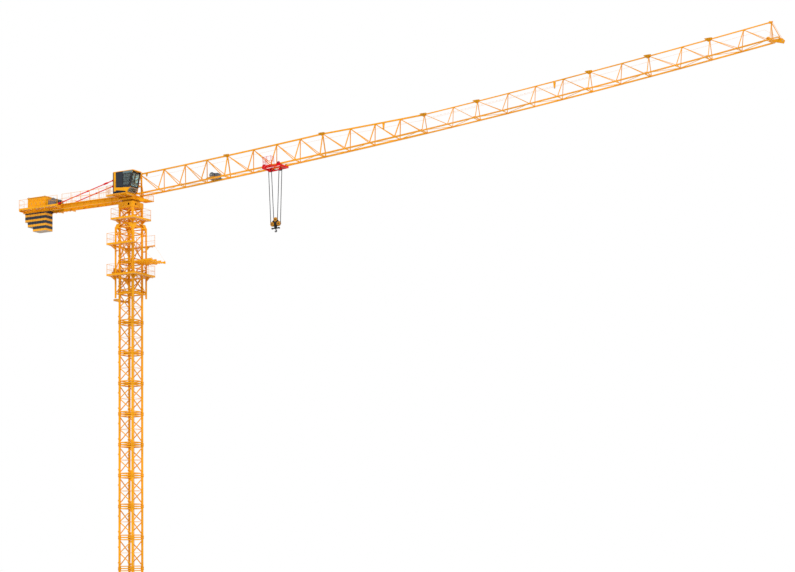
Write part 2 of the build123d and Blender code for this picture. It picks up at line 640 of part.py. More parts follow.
panes = []
for y in (cab_near + 4, cab_far - 12):
    panes.append(side_plate(side_window, (y, y + 8)))
    panes.append(side_plate(rear_window, (y, y + 8)))
for low, high in ((275, 880), (60, 205)):
    pane = [(front_edge(low) - 13, cab_floor + low), (front_edge(low) - 4, cab_floor + low),
            (front_edge(high) - 4, cab_floor + high), (front_edge(high) - 13, cab_floor + high)]
    panes.append(side_plate(pane, (cab_near + 40, cab_far - 40)))
with BuildPart() as cab_glass:
    add(panes)
save(cab_glass, "cab_glazing")

with BuildPart() as cab_platform:
    low = cab_floor - 70
    add(block((-420, 520), (cab_near - 20, -TABLE_HALF), (cab_floor - 22, cab_floor)))
    for x in (-380, 60, 480):
        add(block((x - 30, x + 30), (cab_near, -TABLE_HALF), (low - 20, cab_floor - 22)))
    add(block((-900, -420), (-700, -TABLE_HALF), (cab_floor - 22, cab_floor)))
    add(block((-440, -400), (-TABLE_HALF - 60, -TABLE_HALF), (low, cab_floor)))
save(cab_platform, "cab_platform")

with BuildPart() as front_balcony:
    cheek = [(TABLE_HALF, table_foot + 6), (TABLE_HALF, table_foot + 110), (1150, 20105), (1150, 20065), (670, 20065),
             (620, table_foot - 20)]
    add([side_plate(cheek, (y - 8, y + 8)) for y in (-210, 210)])
    add(block((670, 1150), (-210, 210), (20065, 20085)))
    for x in (700, 1130):
        add([bar((x, y, 20080), (x, y, 20350), POST) for y in (-210, 210)])
    add([bar((700, y, 20341), (1130, y, 20341), RAIL) for y in (-210, 210)])
    add(bar((1130, -210, 20341), (1130, 210, 20341), RAIL))
save(front_balcony, "front_balcony")

# Counter-jib: two I-beams, cross members, decks
flange = BEAM_FLANGE / 2
beam_low = BEAM_TOP - BEAM_HEIGHT
bars = []
for side in (-1, 1):
    y = side * BEAM_Y
    bars.append(block((COUNTER_END, -TABLE_HALF), (y - flange, y + flange), (beam_low, beam_low + BEAM_PLATE)))
    bars.append(block((COUNTER_END, -TABLE_HALF), (y - flange, y + flange), (BEAM_TOP - BEAM_PLATE, BEAM_TOP)))
    bars.append(block((COUNTER_END, -TABLE_HALF), (y - BEAM_PLATE / 2, y + BEAM_PLATE / 2), (beam_low, BEAM_TOP)))
    bars.append(block((TIE_FOOT_X - 70, TIE_FOOT_X), (y - 22, y + 22), (BEAM_TOP - 5, TIE_FOOT_Z + 40)))
    bars.append(block((-TABLE_HALF - BEAM_PLATE, -TABLE_HALF), (y - flange, y + flange), (beam_low, BEAM_TOP)))
cross_x = -TABLE_HALF - CROSS_STEP
while cross_x > -4700:
    bars.append(block((cross_x - 25, cross_x + 25), (-BEAM_Y, BEAM_Y), (beam_low + 60, BEAM_TOP - BEAM_PLATE - 10)))
    cross_x -= CROSS_STEP
bars.append(block((COUNTER_END, COUNTER_END + 30), (-BEAM_Y, BEAM_Y), (beam_low, BEAM_TOP)))
for x in (REAR_DECK_END + 40, -5270.0, -4500.0, REAR_DECK_FRONT - 40):
    for side in (-1, 1):
        bars.append(block((x - 20, x + 20), sorted((side * BEAM_Y, side * REAR_DECK_HALF)),
                          (REAR_DECK_TOP - 90, REAR_DECK_TOP - DECK_THICK)))
with BuildPart() as counter_jib:
    add(bars)
save(counter_jib, "counter_jib")

with BuildPart() as counter_decks:
    for side in (-1, 1):
        add(block((REAR_DECK_END, REAR_DECK_FRONT), sorted((side * (BEAM_Y + flange), side * REAR_DECK_HALF)),
                  (REAR_DECK_TOP - DECK_THICK, REAR_DECK_TOP)))
        with Locations((0, side * (BEAM_Y + flange + REAR_DECK_HALF) / 2, REAR_DECK_TOP)):
            with Locations([(REAR_DECK_END + 200 + 210 * step, 0) for step in range(10)]):
                Box(90, 250, 80, mode=Mode.SUBTRACT)
    add(block((REAR_DECK_FRONT - 20, -TABLE_HALF - 20), (-BEAM_Y - 110, -BEAM_Y + 250), (BEAM_TOP, BEAM_TOP + 10)))
save(counter_decks, "counter_jib_decks")

bars = []
for side in (-1, 1):
    y = side * (REAR_DECK_HALF - POST)
    places = [REAR_DECK_END + POST + step * (REAR_DECK_FRONT - REAR_DECK_END - 2 * POST) / 4 for step in range(5)]
    bars += [bar((x, y, REAR_DECK_TOP), (x, y, REAR_DECK_TOP + 475), POST) for x in places]
    for level in (REAR_DECK_TOP + 466, REAR_DECK_TOP + 240):
        bars.append(bar((places[0], y, level), (places[-1], y, level), RAIL))
places = [REAR_DECK_FRONT + 40 + step * 540 for step in range(6)]
y = -BEAM_Y - 110 + POST / 2
bars += [bar((x, y, BEAM_TOP + 10), (x, y, BEAM_TOP + 485), POST) for x in places]
for level in (BEAM_TOP + 476, BEAM_TOP + 250):
    bars.append(bar((places[0], y, level), (places[-1], y, level), RAIL))
with BuildPart() as counter_rails:
    add(bars)
save(counter_rails, "counter_jib_guard_rails")

with BuildPart() as tie_bars:
    rise = (TIE_TOP_Z - TIE_FOOT_Z) / (TIE_TOP_X - TIE_FOOT_X)
    for side in (-1, 1):
        y = side * BEAM_Y
        outline = [(TIE_TOP_X, TIE_TOP_Z + TIE / 2), (TIE_TOP_X, TIE_TOP_Z - TIE / 2),
                   (TIE_FOOT_X, TIE_FOOT_Z - TIE / 2), (TIE_FOOT_X, TIE_FOOT_Z + TIE / 2)]
        add(side_plate(outline, (y - TIE / 2, y + TIE / 2)))
        for near, far in ((-40, -420), (-1780, -1840)):
            z_near = TIE_TOP_Z + rise * near
            z_far = TIE_TOP_Z + rise * far
            sleeve = [(TIE_TOP_X + near, z_near + 32), (TIE_TOP_X + near, z_near - 32),
                      (TIE_TOP_X + far, z_far - 32), (TIE_TOP_X + far, z_far + 32)]
            add(side_plate(sleeve, (y - 30, y + 30)))
save(tie_bars, "tie_bars")

# Hoist winch, cabinet and counterweights
with BuildPart() as winch_frame:
    add(block((-4700, -4100), (-BEAM_Y - flange, BEAM_Y + flange), (BEAM_TOP, BEAM_TOP + 24)))
    for y in (-285, 285):
        plate = [(-4520, BEAM_TOP + 24), (-4180, BEAM_TOP + 24), (-4270, BEAM_TOP + 300), (-4430, BEAM_TOP + 300)]
        add(side_plate(plate, (y - 15, y + 15)))
    add(disc((-4600, 60, BEAM_TOP + 100), 75, 330, (0, 1, 0)))
    add(block((-4660, -4540), (-90, 210), (BEAM_TOP + 20, BEAM_TOP + 60)))
save(winch_frame, "hoist_winch_frame")

with BuildPart() as winch_drum:
    add(disc((-4350, 0, BEAM_TOP + 220), 130, 540, (0, 1, 0)))
    for y in (-240, 0, 240):
        add(disc((-4350, y, BEAM_TOP + 220), 180, 16, (0, 1, 0)))
save(winch_drum, "hoist_winch_drum")

with BuildPart() as cabinet:
    add(block((-5815, -4760), (-330, 330), (BEAM_TOP, BEAM_TOP + 500)))
    add(block((-5800, -4775), (-315, 315), (BEAM_TOP - 1, BEAM_TOP + 485)), mode=Mode.SUBTRACT)
    add(block((-5840, -4735), (-350, 350), (BEAM_TOP + 500, BEAM_TOP + 525)))
save(cabinet, "winch_cabinet")

slab_feet = (19775.0, 19525.0, 19525.0, 19300.0, 19300.0, 19300.0, 19300.0, 19300.0)
slab_pitch = (6025.0 - 4780.0) / len(slab_feet)
with BuildPart() as counterweights:
    ledge = beam_low + BEAM_PLATE
    for number, foot in enumerate(slab_feet):
        start = -6025.0 + number * slab_pitch
        end = start + slab_pitch - 10
        add(block((start, end), (-BEAM_Y + flange + 10, BEAM_Y - flange - 10), (foot, BEAM_TOP - 60)))
        add(block((start + 30, end - 30), (-BEAM_Y + BEAM_PLATE / 2 + 6, BEAM_Y - BEAM_PLATE / 2 - 6),
                  (ledge, ledge + 60)))
save(counterweights, "counterweight_slabs")

# Jib sections
def jib_nodes(first, last, panels):
    """X of the bottom nodes and the top nodes of one section."""
    low = first + NODE_INSET
    high = last - NODE_INSET
    bottom = [low + (high - low) * step / panels for step in range(panels + 1)]
    upper = [low] + [x + TOP_NODE_LEAD for x in bottom[1:-1]] + [high]
    return bottom, upper


for number, panels in enumerate(JIB_PANELS):
    first = JIB_JOINTS[number]
    last = JIB_JOINTS[number + 1]
    bottom, upper = jib_nodes(first, last, panels)
    heavy = number < 3
    web = WEB_ROOT if heavy else WEB_TIP
    half_top = (TOP_CHORD_ROOT if heavy else TOP_CHORD_TIP) / 2
    stations = [first] + bottom[1:-1] + [last]
    with BuildPart() as jib_section:
        pieces = []
        edge = [(x, chord_z(x) + jib_depth(x) + half_top) for x in stations]
        edge += [(x, chord_z(x) + jib_depth(x) - half_top) for x in reversed(stations)]
        pieces.append(side_plate(edge, (-half_top, half_top)))
        for x_range in ((first, first + 60), (last - 60, last)):
            x = sum(x_range) / 2
            z = chord_z(x) + jib_depth(x)
            pieces.append(block(x_range, (-KNUCKLE / 2, KNUCKLE / 2), (z - KNUCKLE / 2, z + KNUCKLE / 2)))
        for side in (-1, 1):
            y = side * JIB_HALF_WIDTH
            edge = [(x, chord_z(x, CHORD / 2)) for x in stations]
            edge += [(x, chord_z(x, -CHORD / 2)) for x in reversed(stations)]
            pieces.append(side_plate(edge, (y - CHORD / 2, y + CHORD / 2)))
            edge = [(x, chord_z(x, LEDGE_HEIGHT - CHORD / 2)) for x in stations]
            edge += [(x, chord_z(x, -CHORD / 2)) for x in reversed(stations)]
            pieces.append(side_plate(edge, sorted((y, y + side * (CHORD / 2 + LEDGE)))))
            for step, x in enumerate(bottom[:-1]):
                x_top = upper[step]
                crown = (x_top, 0, chord_z(x_top) + jib_depth(x_top))
                pieces.append(bar(crown, (x, y, chord_z(x)), web))
                x_next = bottom[step + 1]
                pieces.append(bar(crown, (x_next, y, chord_z(x_next)), web))
        for step, x in enumerate(bottom):
            pieces.append(bar((x, -JIB_HALF_WIDTH, chord_z(x)), (x, JIB_HALF_WIDTH, chord_z(x)), CROSS_BAR))
        for step in range(panels):
            swing = JIB_HALF_WIDTH if step % 2 else -JIB_HALF_WIDTH
            pieces.append(bar((bottom[step], swing, chord_z(bottom[step])),
                              (bottom[step + 1], -swing, chord_z(bottom[step + 1])), LACING))
        add(pieces)
    save(jib_section, f"jib_section_{number + 1}")

# Jib nose with the end sheave
tip_x = JIB_JOINTS[-1]
tip_low = chord_z(tip_x)
tip_high = tip_low + jib_depth(tip_x)
with BuildPart() as jib_nose:
    add(block((tip_x, tip_x + 70), (-JIB_HALF_WIDTH - 35, JIB_HALF_WIDTH + 35), (tip_low - 35, tip_low + 35)))
    add(block((tip_x, tip_x + 60), (-30, 30), (tip_high - 45, tip_high + 30)))
    add(bar((tip_x + 30, 0, tip_high), (tip_x + 30, 0, tip_low), WEB_TIP))
    add(bar((tip_x + 30, 0, tip_high - 20), (tip_x + 380, 0, tip_low), WEB_TIP))
    for side in (-1, 1):
        cheek = [(tip_x + 40, tip_low - 35), (tip_x + 470, tip_low - 170), (tip_x + 520, tip_low - 60),
                 (tip_x + 430, tip_low + 35), (tip_x + 40, tip_low + 35)]
        add(side_plate(cheek, sorted((side * 30, side * 44))))
    add(block((tip_x + 360, tip_x + 400), (-44, 44), (tip_low - 20, tip_low + 20)))
    add(sheave((tip_x + 440, 0, tip_low - 80), 70, 40, 12))
    add(disc((tip_x + 440, 0, tip_low - 80), 12, 88, (0, 1, 0)))
save(jib_nose, "jib_nose")

# Trolley winch on the bottom chords of the first section
winch_panel = jib_nodes(JIB_JOINTS[0], JIB_JOINTS[1], JIB_PANELS[0])[0][-2]
half = CHORD / 2
panel_low = chord_z(winch_panel, half)
panel_rise = (chord_z(JIB_JOINTS[1], half) - panel_low) / (JIB_JOINTS[1] - winch_panel)


def on_panel(x, up):
    """Point above the straight chord top of the winch's panel."""
    return (x, panel_low + panel_rise * (x - winch_panel) + up)


with BuildPart() as trolley_winch:
    floor = [on_panel(4370, 0), on_panel(4890, 0), on_panel(4890, 14), on_panel(4370, 14)]
    add(side_plate(floor, (-JIB_HALF_WIDTH - 30, JIB_HALF_WIDTH + 30)))
    base = on_panel(4560, 0)[1]
    add(disc((4560, 0, base + 160), 100, 230, (0, 1, 0)))
    add(disc((4560, 0, base + 160), 22, 276, (0, 1, 0)))
    add([disc((4560, y, base + 160), 130, 14, (0, 1, 0)) for y in (-100, 100)])
    add([side_plate([(4480, base + 8), (4640, base + 8), (4590, base + 200), (4530, base + 200)], (y - 8, y + 8))
         for y in (-130, 130)])
    add(block((4720, 4860), (-80, 80), (base + 15, base + 230)))
save(trolley_winch, "trolley_winch")

# Trolley: side plates outside the chords, cross beams below them
t_z = chord_z(TROLLEY_X)
wheel_y = JIB_HALF_WIDTH + CHORD / 2 + RUN_GAP + WHEEL_WIDTH / 2
wheel_z = -CHORD / 2 + LEDGE_HEIGHT + RAIL_SEAT + WHEEL_RADIUS
plate_y = JIB_HALF_WIDTH + CHORD / 2 + LEDGE + RUN_GAP
slope = math.asin((TROLLEY_X - JIB_ARC_X) / JIB_ARC)


def on_rail(along, up):
    """Point beside the trolley's middle, measured along and square to the chord."""
    return (TROLLEY_X + along * math.cos(slope) - up * math.sin(slope),
            t_z + along * math.sin(slope) + up * math.cos(slope))


under = -CHORD / 2 - RUN_GAP
bars = []
for side in (-1, 1):
    outline = [on_rail(-TROLLEY_HALF, under - 70), on_rail(TROLLEY_HALF, under - 70), on_rail(TROLLEY_HALF, -10),
               on_rail(WHEEL_X + 60, 80), on_rail(WHEEL_X - 60, 80), on_rail(WHEEL_X - 120, under - 10),
               on_rail(120 - WHEEL_X, under - 10), on_rail(60 - WHEEL_X, 80), on_rail(-60 - WHEEL_X, 80),
               on_rail(-TROLLEY_HALF, -10)]
    bars.append(side_plate(outline, sorted((side * plate_y, side * (plate_y + SIDE_PLATE)))))
for along in (-TROLLEY_HALF + 40, TROLLEY_HALF - 40):
    outline = [on_rail(along - 35, under - 70), on_rail(along + 35, under - 70), on_rail(along + 35, under),
               on_rail(along - 35, under)]
    bars.append(side_plate(outline, (-plate_y - 8, plate_y + 8)))
for y in (-42, 42):
    outline = [on_rail(-TROLLEY_HALF + 40, under - 66), on_rail(-330, under - 170), on_rail(330, under - 170),
               on_rail(TROLLEY_HALF - 40, under - 66), on_rail(TROLLEY_HALF - 40, under - 4),
               on_rail(-TROLLEY_HALF + 40, under - 4)]
    bars.append(side_plate(outline, (y - 7, y + 7)))
basket_low = plate_y + SIDE_PLATE
basket_far = basket_low + 330
floor = [on_rail(-380, under - 66), on_rail(380, under - 66), on_rail(380, under - 48), on_rail(-380, under - 48)]
bars.append(side_plate(floor, (-basket_far, -basket_low)))
for along in (-370, 0, 370):
    for y in (-basket_far + 10, -basket_low - 10):
        if along == 0 and y > -basket_far + 20:
            continue
        foot = on_rail(along, under - 60)
        head = on_rail(along, 330)
        bars.append(bar((foot[0], y, foot[1]), (head[0], y, head[1]), POST))
for level in (322, 120):
    left = on_rail(-370, level)
    right = on_rail(370, level)
    bars.append(bar((left[0], -basket_far + 10, left[1]), (right[0], -basket_far + 10, right[1]), RAIL))
    for end in (left, right):
        bars.append(bar((end[0], -basket_far + 10, end[1]), (end[0], -basket_low - 10, end[1]), RAIL))
sheave_z = t_z + under - 112
sheave_places = [(TROLLEY_X + side * TROLLEY_SHEAVE_X, sheave_z) for side in (-1, 1)]
for place in sheave_places:
    bars.append(disc((place[0], 0, place[1]), 12, 98, (0, 1, 0)))
with BuildPart() as trolley_frame:
    add(bars)
save(trolley_frame, "trolley_frame")

with BuildPart() as trolley_wheels:
    for side in (-1, 1):
        for along in (-WHEEL_X, WHEEL_X):
            spot = on_rail(along, wheel_z)
            add(disc((spot[0], side * wheel_y, spot[1]), WHEEL_RADIUS, WHEEL_WIDTH, (0, 1, 0)))
            axle_end = plate_y
            add(disc((spot[0], side * (wheel_y + axle_end) / 2, spot[1]), 14, axle_end - wheel_y, (0, 1, 0)))
save(trolley_wheels, "trolley_wheels")

with BuildPart() as trolley_sheaves:
    add([sheave((place[0], 0, place[1]), TROLLEY_SHEAVE, SHEAVE_WIDTH, 12) for place in sheave_places])
save(trolley_sheaves, "trolley_sheaves")

# Four rope falls between the trolley and the hook block
low_sheave = t_z - HOOK_DROP
high_sheave = low_sheave + TOP_SHEAVE_RISE
swivel_floor = low_sheave - SWIVEL_DROP
fall_top = (TROLLEY_SHEAVE_X + top_line, TROLLEY_SHEAVE_X - top_line)
with BuildPart() as rope_falls:
    for side in (-1, 1):
        for high, low in zip(fall_top, fall_foot):
            add(bar((TROLLEY_X + side * high, 0, sheave_z), (TROLLEY_X + side * low, 0, high_sheave),
                    2 * ROPE_RADIUS))
save(rope_falls, "hoist_rope_falls")

# Hook block: two cheeks, three sheaves, a swivelling hook
cheek_y = SHEAVE_WIDTH / 2 + RUN_GAP
crown = [(-HOOK_SHEAVE_X - 60, low_sheave - 40), (HOOK_SHEAVE_X + 60, low_sheave - 40),
         (HOOK_SHEAVE_X + 60, low_sheave + 40), (45, high_sheave + 45), (-45, high_sheave + 45),
         (-HOOK_SHEAVE_X - 60, low_sheave + 40)]
crown = [(TROLLEY_X + x, z) for x, z in crown]
stem = [(TROLLEY_X + x, z) for x, z in ((-60, low_sheave), (-60, swivel_floor - 55), (60, swivel_floor - 55), (60, low_sheave))]
lugs = [(-190, 0), (-190, -70), (-120, -50), (120, -50), (190, -70), (190, 0), (120, -15), (-120, -15)]
lugs = [(TROLLEY_X + x, swivel_floor + up) for x, up in lugs]
axles = [(-HOOK_SHEAVE_X, low_sheave), (HOOK_SHEAVE_X, low_sheave), (0, high_sheave)]
with BuildPart() as hook_block:
    for side in (-1, 1):
        span = sorted((side * cheek_y, side * (cheek_y + CHEEK)))
        add([side_plate(crown, span), side_plate(stem, span)])
    for x, z in axles:
        add(disc((TROLLEY_X + x, 0, z), 14, 2 * (cheek_y + CHEEK) + 20, (0, 1, 0)))
    add(side_plate(lugs, (-cheek_y - CHEEK - 14, cheek_y + CHEEK + 14)))
    add(block((TROLLEY_X - 45, TROLLEY_X + 45), (-cheek_y - 4, cheek_y + 4),
              (swivel_floor - 65, swivel_floor + 40)))
    add(disc((TROLLEY_X, 0, swivel_floor), 16, 400, (0, 0, 1)), mode=Mode.SUBTRACT)
    add(disc((TROLLEY_X, 0, swivel_floor + 25), 34, 50, (0, 0, 1)), mode=Mode.SUBTRACT)
save(hook_block, "hook_block")

with BuildPart() as hook_sheaves:
    add([sheave((TROLLEY_X + x, 0, z), HOOK_SHEAVE, SHEAVE_WIDTH, 14) for x, z in axles])
save(hook_sheaves, "hook_sheaves")

bowl = 44.0
thick = 15.0
bowl_z = swivel_floor - HOOK_LENGTH + bowl + thick
neck = bowl_z + bowl
swivel = swivel_floor + SEAT + 12
with BuildPart() as hook:
    with BuildSketch(Plane(origin=(TROLLEY_X, 0, neck), x_dir=(0, 1, 0), z_dir=(1, 0, 0))):
        RegularPolygon(thick, 8)
    revolve(axis=Axis((TROLLEY_X, 0, bowl_z), (0, 1, 0)), revolution_arc=250)
    add(disc((TROLLEY_X, 0, (neck + swivel) / 2), 10, swivel - neck, (0, 0, 1)))
    add(disc((TROLLEY_X, 0, swivel), 26, 24, (0, 0, 1)))
save(hook, "hook")
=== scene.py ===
"""Tower crane at 1:2: paint, fittings and studio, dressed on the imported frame.

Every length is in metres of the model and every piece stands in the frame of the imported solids:
+X along the jib, +Z up the mast, the cab on the -Y side, the origin at ground level on the tower axis.
"""

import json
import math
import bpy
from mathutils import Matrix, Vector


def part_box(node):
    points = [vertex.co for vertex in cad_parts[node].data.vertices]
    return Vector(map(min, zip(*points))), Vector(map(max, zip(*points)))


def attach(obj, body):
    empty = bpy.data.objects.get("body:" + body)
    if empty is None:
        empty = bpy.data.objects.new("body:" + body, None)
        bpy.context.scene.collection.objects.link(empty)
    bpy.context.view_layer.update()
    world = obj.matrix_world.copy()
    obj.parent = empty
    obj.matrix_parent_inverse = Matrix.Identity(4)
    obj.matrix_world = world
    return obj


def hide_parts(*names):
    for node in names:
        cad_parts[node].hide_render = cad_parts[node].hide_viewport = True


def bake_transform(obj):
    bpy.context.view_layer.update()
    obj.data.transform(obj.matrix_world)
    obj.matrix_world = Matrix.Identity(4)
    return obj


bl_info = {
    "name": "Tower crane dressing",
    "version": (1, 0, 0),
    "blender": (4, 5, 0),
    "location": "View3D > Sidebar > Crane",
    "description": "Paint, fittings and studio for a self-climbing flat-top tower crane at 1:2",
    "category": "Object",
}

import bmesh
import bpy
import numpy as np
from bpy.props import FloatProperty, FloatVectorProperty, IntProperty, PointerProperty
from mathutils import Matrix, Vector

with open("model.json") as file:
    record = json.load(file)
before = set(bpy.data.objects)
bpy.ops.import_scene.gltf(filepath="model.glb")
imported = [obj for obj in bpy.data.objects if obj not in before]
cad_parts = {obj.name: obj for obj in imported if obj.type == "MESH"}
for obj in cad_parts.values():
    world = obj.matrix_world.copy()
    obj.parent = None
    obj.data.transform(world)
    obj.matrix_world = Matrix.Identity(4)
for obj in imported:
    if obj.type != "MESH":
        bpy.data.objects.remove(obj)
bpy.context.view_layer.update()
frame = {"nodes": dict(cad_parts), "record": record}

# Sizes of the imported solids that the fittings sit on
LEG_AT = 0.3625
SECTION = 1.4
BASE_TOP = 0.55
MAST_SECTIONS = 13
MAST_TOP = BASE_TOP + MAST_SECTIONS * SECTION
CAGE_AT = 0.495
CAGE_FACE = 0.5325
DECK_REACH = 0.792
LOWER_DECK = 16.69
UPPER_DECK = 18.125
SUPPORT_DECK = 19.305
SUPPORT_REACH = 0.66
SUPPORT_FACE = 0.41
OPENING_X = 0.18
FEED_TOP = 17.30
FEED_END = 1.57
RING_FOOT = 20.1
JACK_X = -0.625
PUMP_X = -0.665
CROSSHEAD_TOP = 15.638
TABLE_TOP = 20.384
BALCONY_FLOOR = 20.085
HEAD_SHEAVE = np.array((0.02, 0.05, 21.12))
TIE_HEAD_Z = 21.275
CAB_FLOOR = 20.39
CAB_NEAR = -0.95
CAB_FAR = -0.345
BEAM_TOP = 20.39
BEAM_Y = 0.3
REAR_DECK = 20.31
DRUM = (-4.35, 0.0, 20.61)
HOIST_MOTOR_X = -4.6
TIE_Y = 0.3
RUN_ROPE = 0.0032
TROLLEY_X = 7.85
WHEEL_REACH = 0.37
FALL_REACH = 0.27
FALL_TURN = 0.0733
BLOCK_REACH = 0.162
BLOCK_TURN = 0.0943
ARC = 425.0
ARC_X = -21.455
ARC_Z = 444.85811
JIB_JOINTS = np.array([0.48, 5.3, 10.25, 15.22, 17.7, 22.7, 25.19, 27.69, 30.15])
JIB_PANELS = (4, 4, 4, 2, 4, 2, 2, 2)
HEAVY_SECTIONS = 3
JIB_SIDE = 0.25
JIB_DEPTH = 0.95
JIB_TAPER = 0.225
WINCH_X = 4.56
WINCH_MOTOR_X = 4.79
SIGNS = np.array([(-1, -1), (1, -1), (1, 1), (-1, 1)], float)
X_AXIS, Y_AXIS, Z_AXIS = np.eye(3)

# Camera fitted to the photo: its place, and its yaw, pitch and roll in radians
CAMERA_AT = (48.2147, -63.9908, 3.4109)
CAMERA_TURNS = (0.4936, 0.0903, -0.0140)


def chord_z(x):
    """Height of the bottom chords' arc at x: centre less the root of radius squared less offset squared."""
    return ARC_Z - np.sqrt(ARC ** 2 - (np.asarray(x, float) - ARC_X) ** 2)


def top_z(x):
    """Height of the top chord: the arc plus a depth that tapers over the third section."""
    start, end = JIB_JOINTS[HEAVY_SECTIONS - 1:HEAVY_SECTIONS + 1]
    share = np.clip((np.asarray(x, float) - start) / (end - start), 0, 1)
    return chord_z(x) + JIB_DEPTH - JIB_TAPER * share


TROLLEY_Z = float(chord_z(TROLLEY_X))
TROLLEY_SLOPE = math.asin((TROLLEY_X - ARC_X) / ARC)
LOW_SHEAVE = TROLLEY_Z - 2.57
HIGH_SHEAVE = LOW_SHEAVE + 0.188
SWIVEL = LOW_SHEAVE - 0.16
FALL_TOP = TROLLEY_Z - 0.041 - 0.112


def from_screen(red, green, blue):
    """Linear colour of an 8-bit screen colour, by the standard transfer curve."""
    share = np.array([red, green, blue]) / 255
    return tuple(float(v) for v in np.where(share > 0.04045, ((share + 0.055) / 1.055) ** 2.4, share / 12.92))


def shade(colour, share):
    """The colour times a share, held under one."""
    return tuple(min(1.0, share * v) for v in colour)


def tint(name, about, *screen):
    """Colour property whose default is an 8-bit screen colour."""
    return FloatVectorProperty(name=name, description=about, size=3, subtype="COLOR", min=0, max=1,
                               default=from_screen(*screen))


class PaintSettings(bpy.types.PropertyGroup):
    """Colours of the finishes"""

    crane: tint("Crane paint", "Orange-yellow of the steelwork", 252, 171, 20)
    red: tint("Red paint", "Tie bars and trolley", 232, 12, 26)
    navy: tint("Dark stripes", "Dark stripes of the ballast and the cab's rear", 27, 36, 52)
    machine: tint("Machine grey", "Winches and motors", 112, 114, 120)
    glass: tint("Glass tint", "Tint of the cab glazing", 206, 236, 236)


class FittingSettings(bpy.types.PropertyGroup):
    """Sizes of the small fittings"""

    bolt: FloatProperty(
        name="Bolt head", description="Radius of a joint bolt's head", default=0.013, unit="LENGTH")
    rope: FloatProperty(
        name="Rope radius", description="Radius of the hoist rope", default=0.0155, unit="LENGTH")
    wire: FloatProperty(name="Infill wire", description="Radius of the guard rail infill", default=0.0016,
                        unit="LENGTH")
    rung_step: FloatProperty(
        name="Rung step", description="Spacing of the ladder rungs", default=0.15, unit="LENGTH")
    teeth: IntProperty(name="Ring teeth", description="Teeth of the slewing ring", default=108)


class StudioSettings(bpy.types.PropertyGroup):
    """Camera and light"""

    lens: FloatProperty(name="Lens", description="Focal length in millimetres", default=79.0738)
    rise: FloatProperty(name="Shift", description="Vertical shift of the lens", default=0.15)
    sky: FloatProperty(name="Sky light", description="Strength of the even white light", default=0.84)
    key: FloatProperty(name="Key light", description="Strength of the soft sun", default=1.55)
    floor: FloatProperty(
        name="Floor radius", description="Radius of the pale floor", default=240.0, unit="LENGTH")


class Wire:
    """A shader socket in Python sums: each operator adds one Math node."""

    def __init__(self, tree, socket):
        self.tree = tree
        self.socket = socket

    def __add__(self, other):
        return self.tree.maths("ADD", self, other)

    def __sub__(self, other):
        return self.tree.maths("SUBTRACT", self, other)

    def __rsub__(self, other):
        return self.tree.maths("SUBTRACT", other, self)

    def __mul__(self, other):
        return self.tree.maths("MULTIPLY", self, other)

    __radd__ = __add__
    __rmul__ = __mul__


class Tree:
    """Node tree of one finish, with one method for any node and a few for the common ones."""

    def __init__(self, name):
        self.material = bpy.data.materials.new(name)
        self.material.use_nodes = True
        self.links = self.material.node_tree.links
        self.nodes = self.material.node_tree.nodes
        self.nodes.clear()
        self.place = self.node("ShaderNodeTexCoord", out="Object")
        self.normal = self.node("ShaderNodeNewGeometry", out="Normal")

    def node(self, kind, settings=None, sockets=None, out=0):
        """One node: its settings first, then its sockets' values or links. Returns one output as a Wire."""
        made = self.nodes.new(kind)
        for key, value in (settings or {}).items():
            setattr(made, key, value)
        for key, value in (sockets or {}).items():
            found = [one for one in made.inputs if one.identifier == key]
            socket = found[0] if found else made.inputs[key]
            if isinstance(value, Wire):
                self.links.new(value.socket, socket)
            elif socket.type == "RGBA" and len(value) == 3:
                socket.default_value = (*value, 1.0)
            else:
                socket.default_value = value
        found = [one for one in made.outputs if one.identifier == out]
        return Wire(self, found[0] if found else made.outputs[out])

    def maths(self, operation, first, second):
        return self.node("ShaderNodeMath", {"operation": operation}, {0: first, 1: second})

    def noise(self, scale, detail=3.0, place=None, rough=0.55):
        """Fractal noise of the place, about a half on average."""
        return self.node("ShaderNodeTexNoise", {}, {"Vector": place or self.place, "Scale": scale,
                                                    "Detail": detail, "Roughness": rough}, "Fac")

    def stretched(self, scale, turn=(0.0, 0.0, 0.0)):
        """The place scaled by its own factor on each axis."""
        return self.node("ShaderNodeMapping", {}, {"Vector": self.place, "Scale": scale, "Rotation": turn})

    def axis(self, vector, name):
        return self.node("ShaderNodeSeparateXYZ", {}, {"Vector": vector}, name)

    def ease(self, value, low, high):
        """Smooth step from 0 at low to 1 at high."""
        return self.node("ShaderNodeMapRange", {"interpolation_type": "SMOOTHSTEP"},
                         {"Value": value, "From Min": low, "From Max": high})

    def mix(self, share, first, second):
        """Colour that goes from the first to the second with the share."""
        return self.node("ShaderNodeMix", {"data_type": "RGBA"},
                         {"Factor_Float": share, "A_Color": first, "B_Color": second}, "Result_Color")

    def bump(self, height, strength, distance):
        return self.node(
            "ShaderNodeBump", {}, {"Height": height, "Strength": strength, "Distance": distance}, "Normal")

    def surface(self, **sockets):
        """Principled surface on the material's output; names are given with underscores."""
        named = {key.replace("_", " "): value for key, value in sockets.items()}
        shader = self.node("ShaderNodeBsdfPrincipled", {}, named)
        self.close(shader)
        return self.material

    def close(self, shader):
        output = self.nodes.new("ShaderNodeOutputMaterial")
        self.links.new(shader.socket, output.inputs["Surface"])


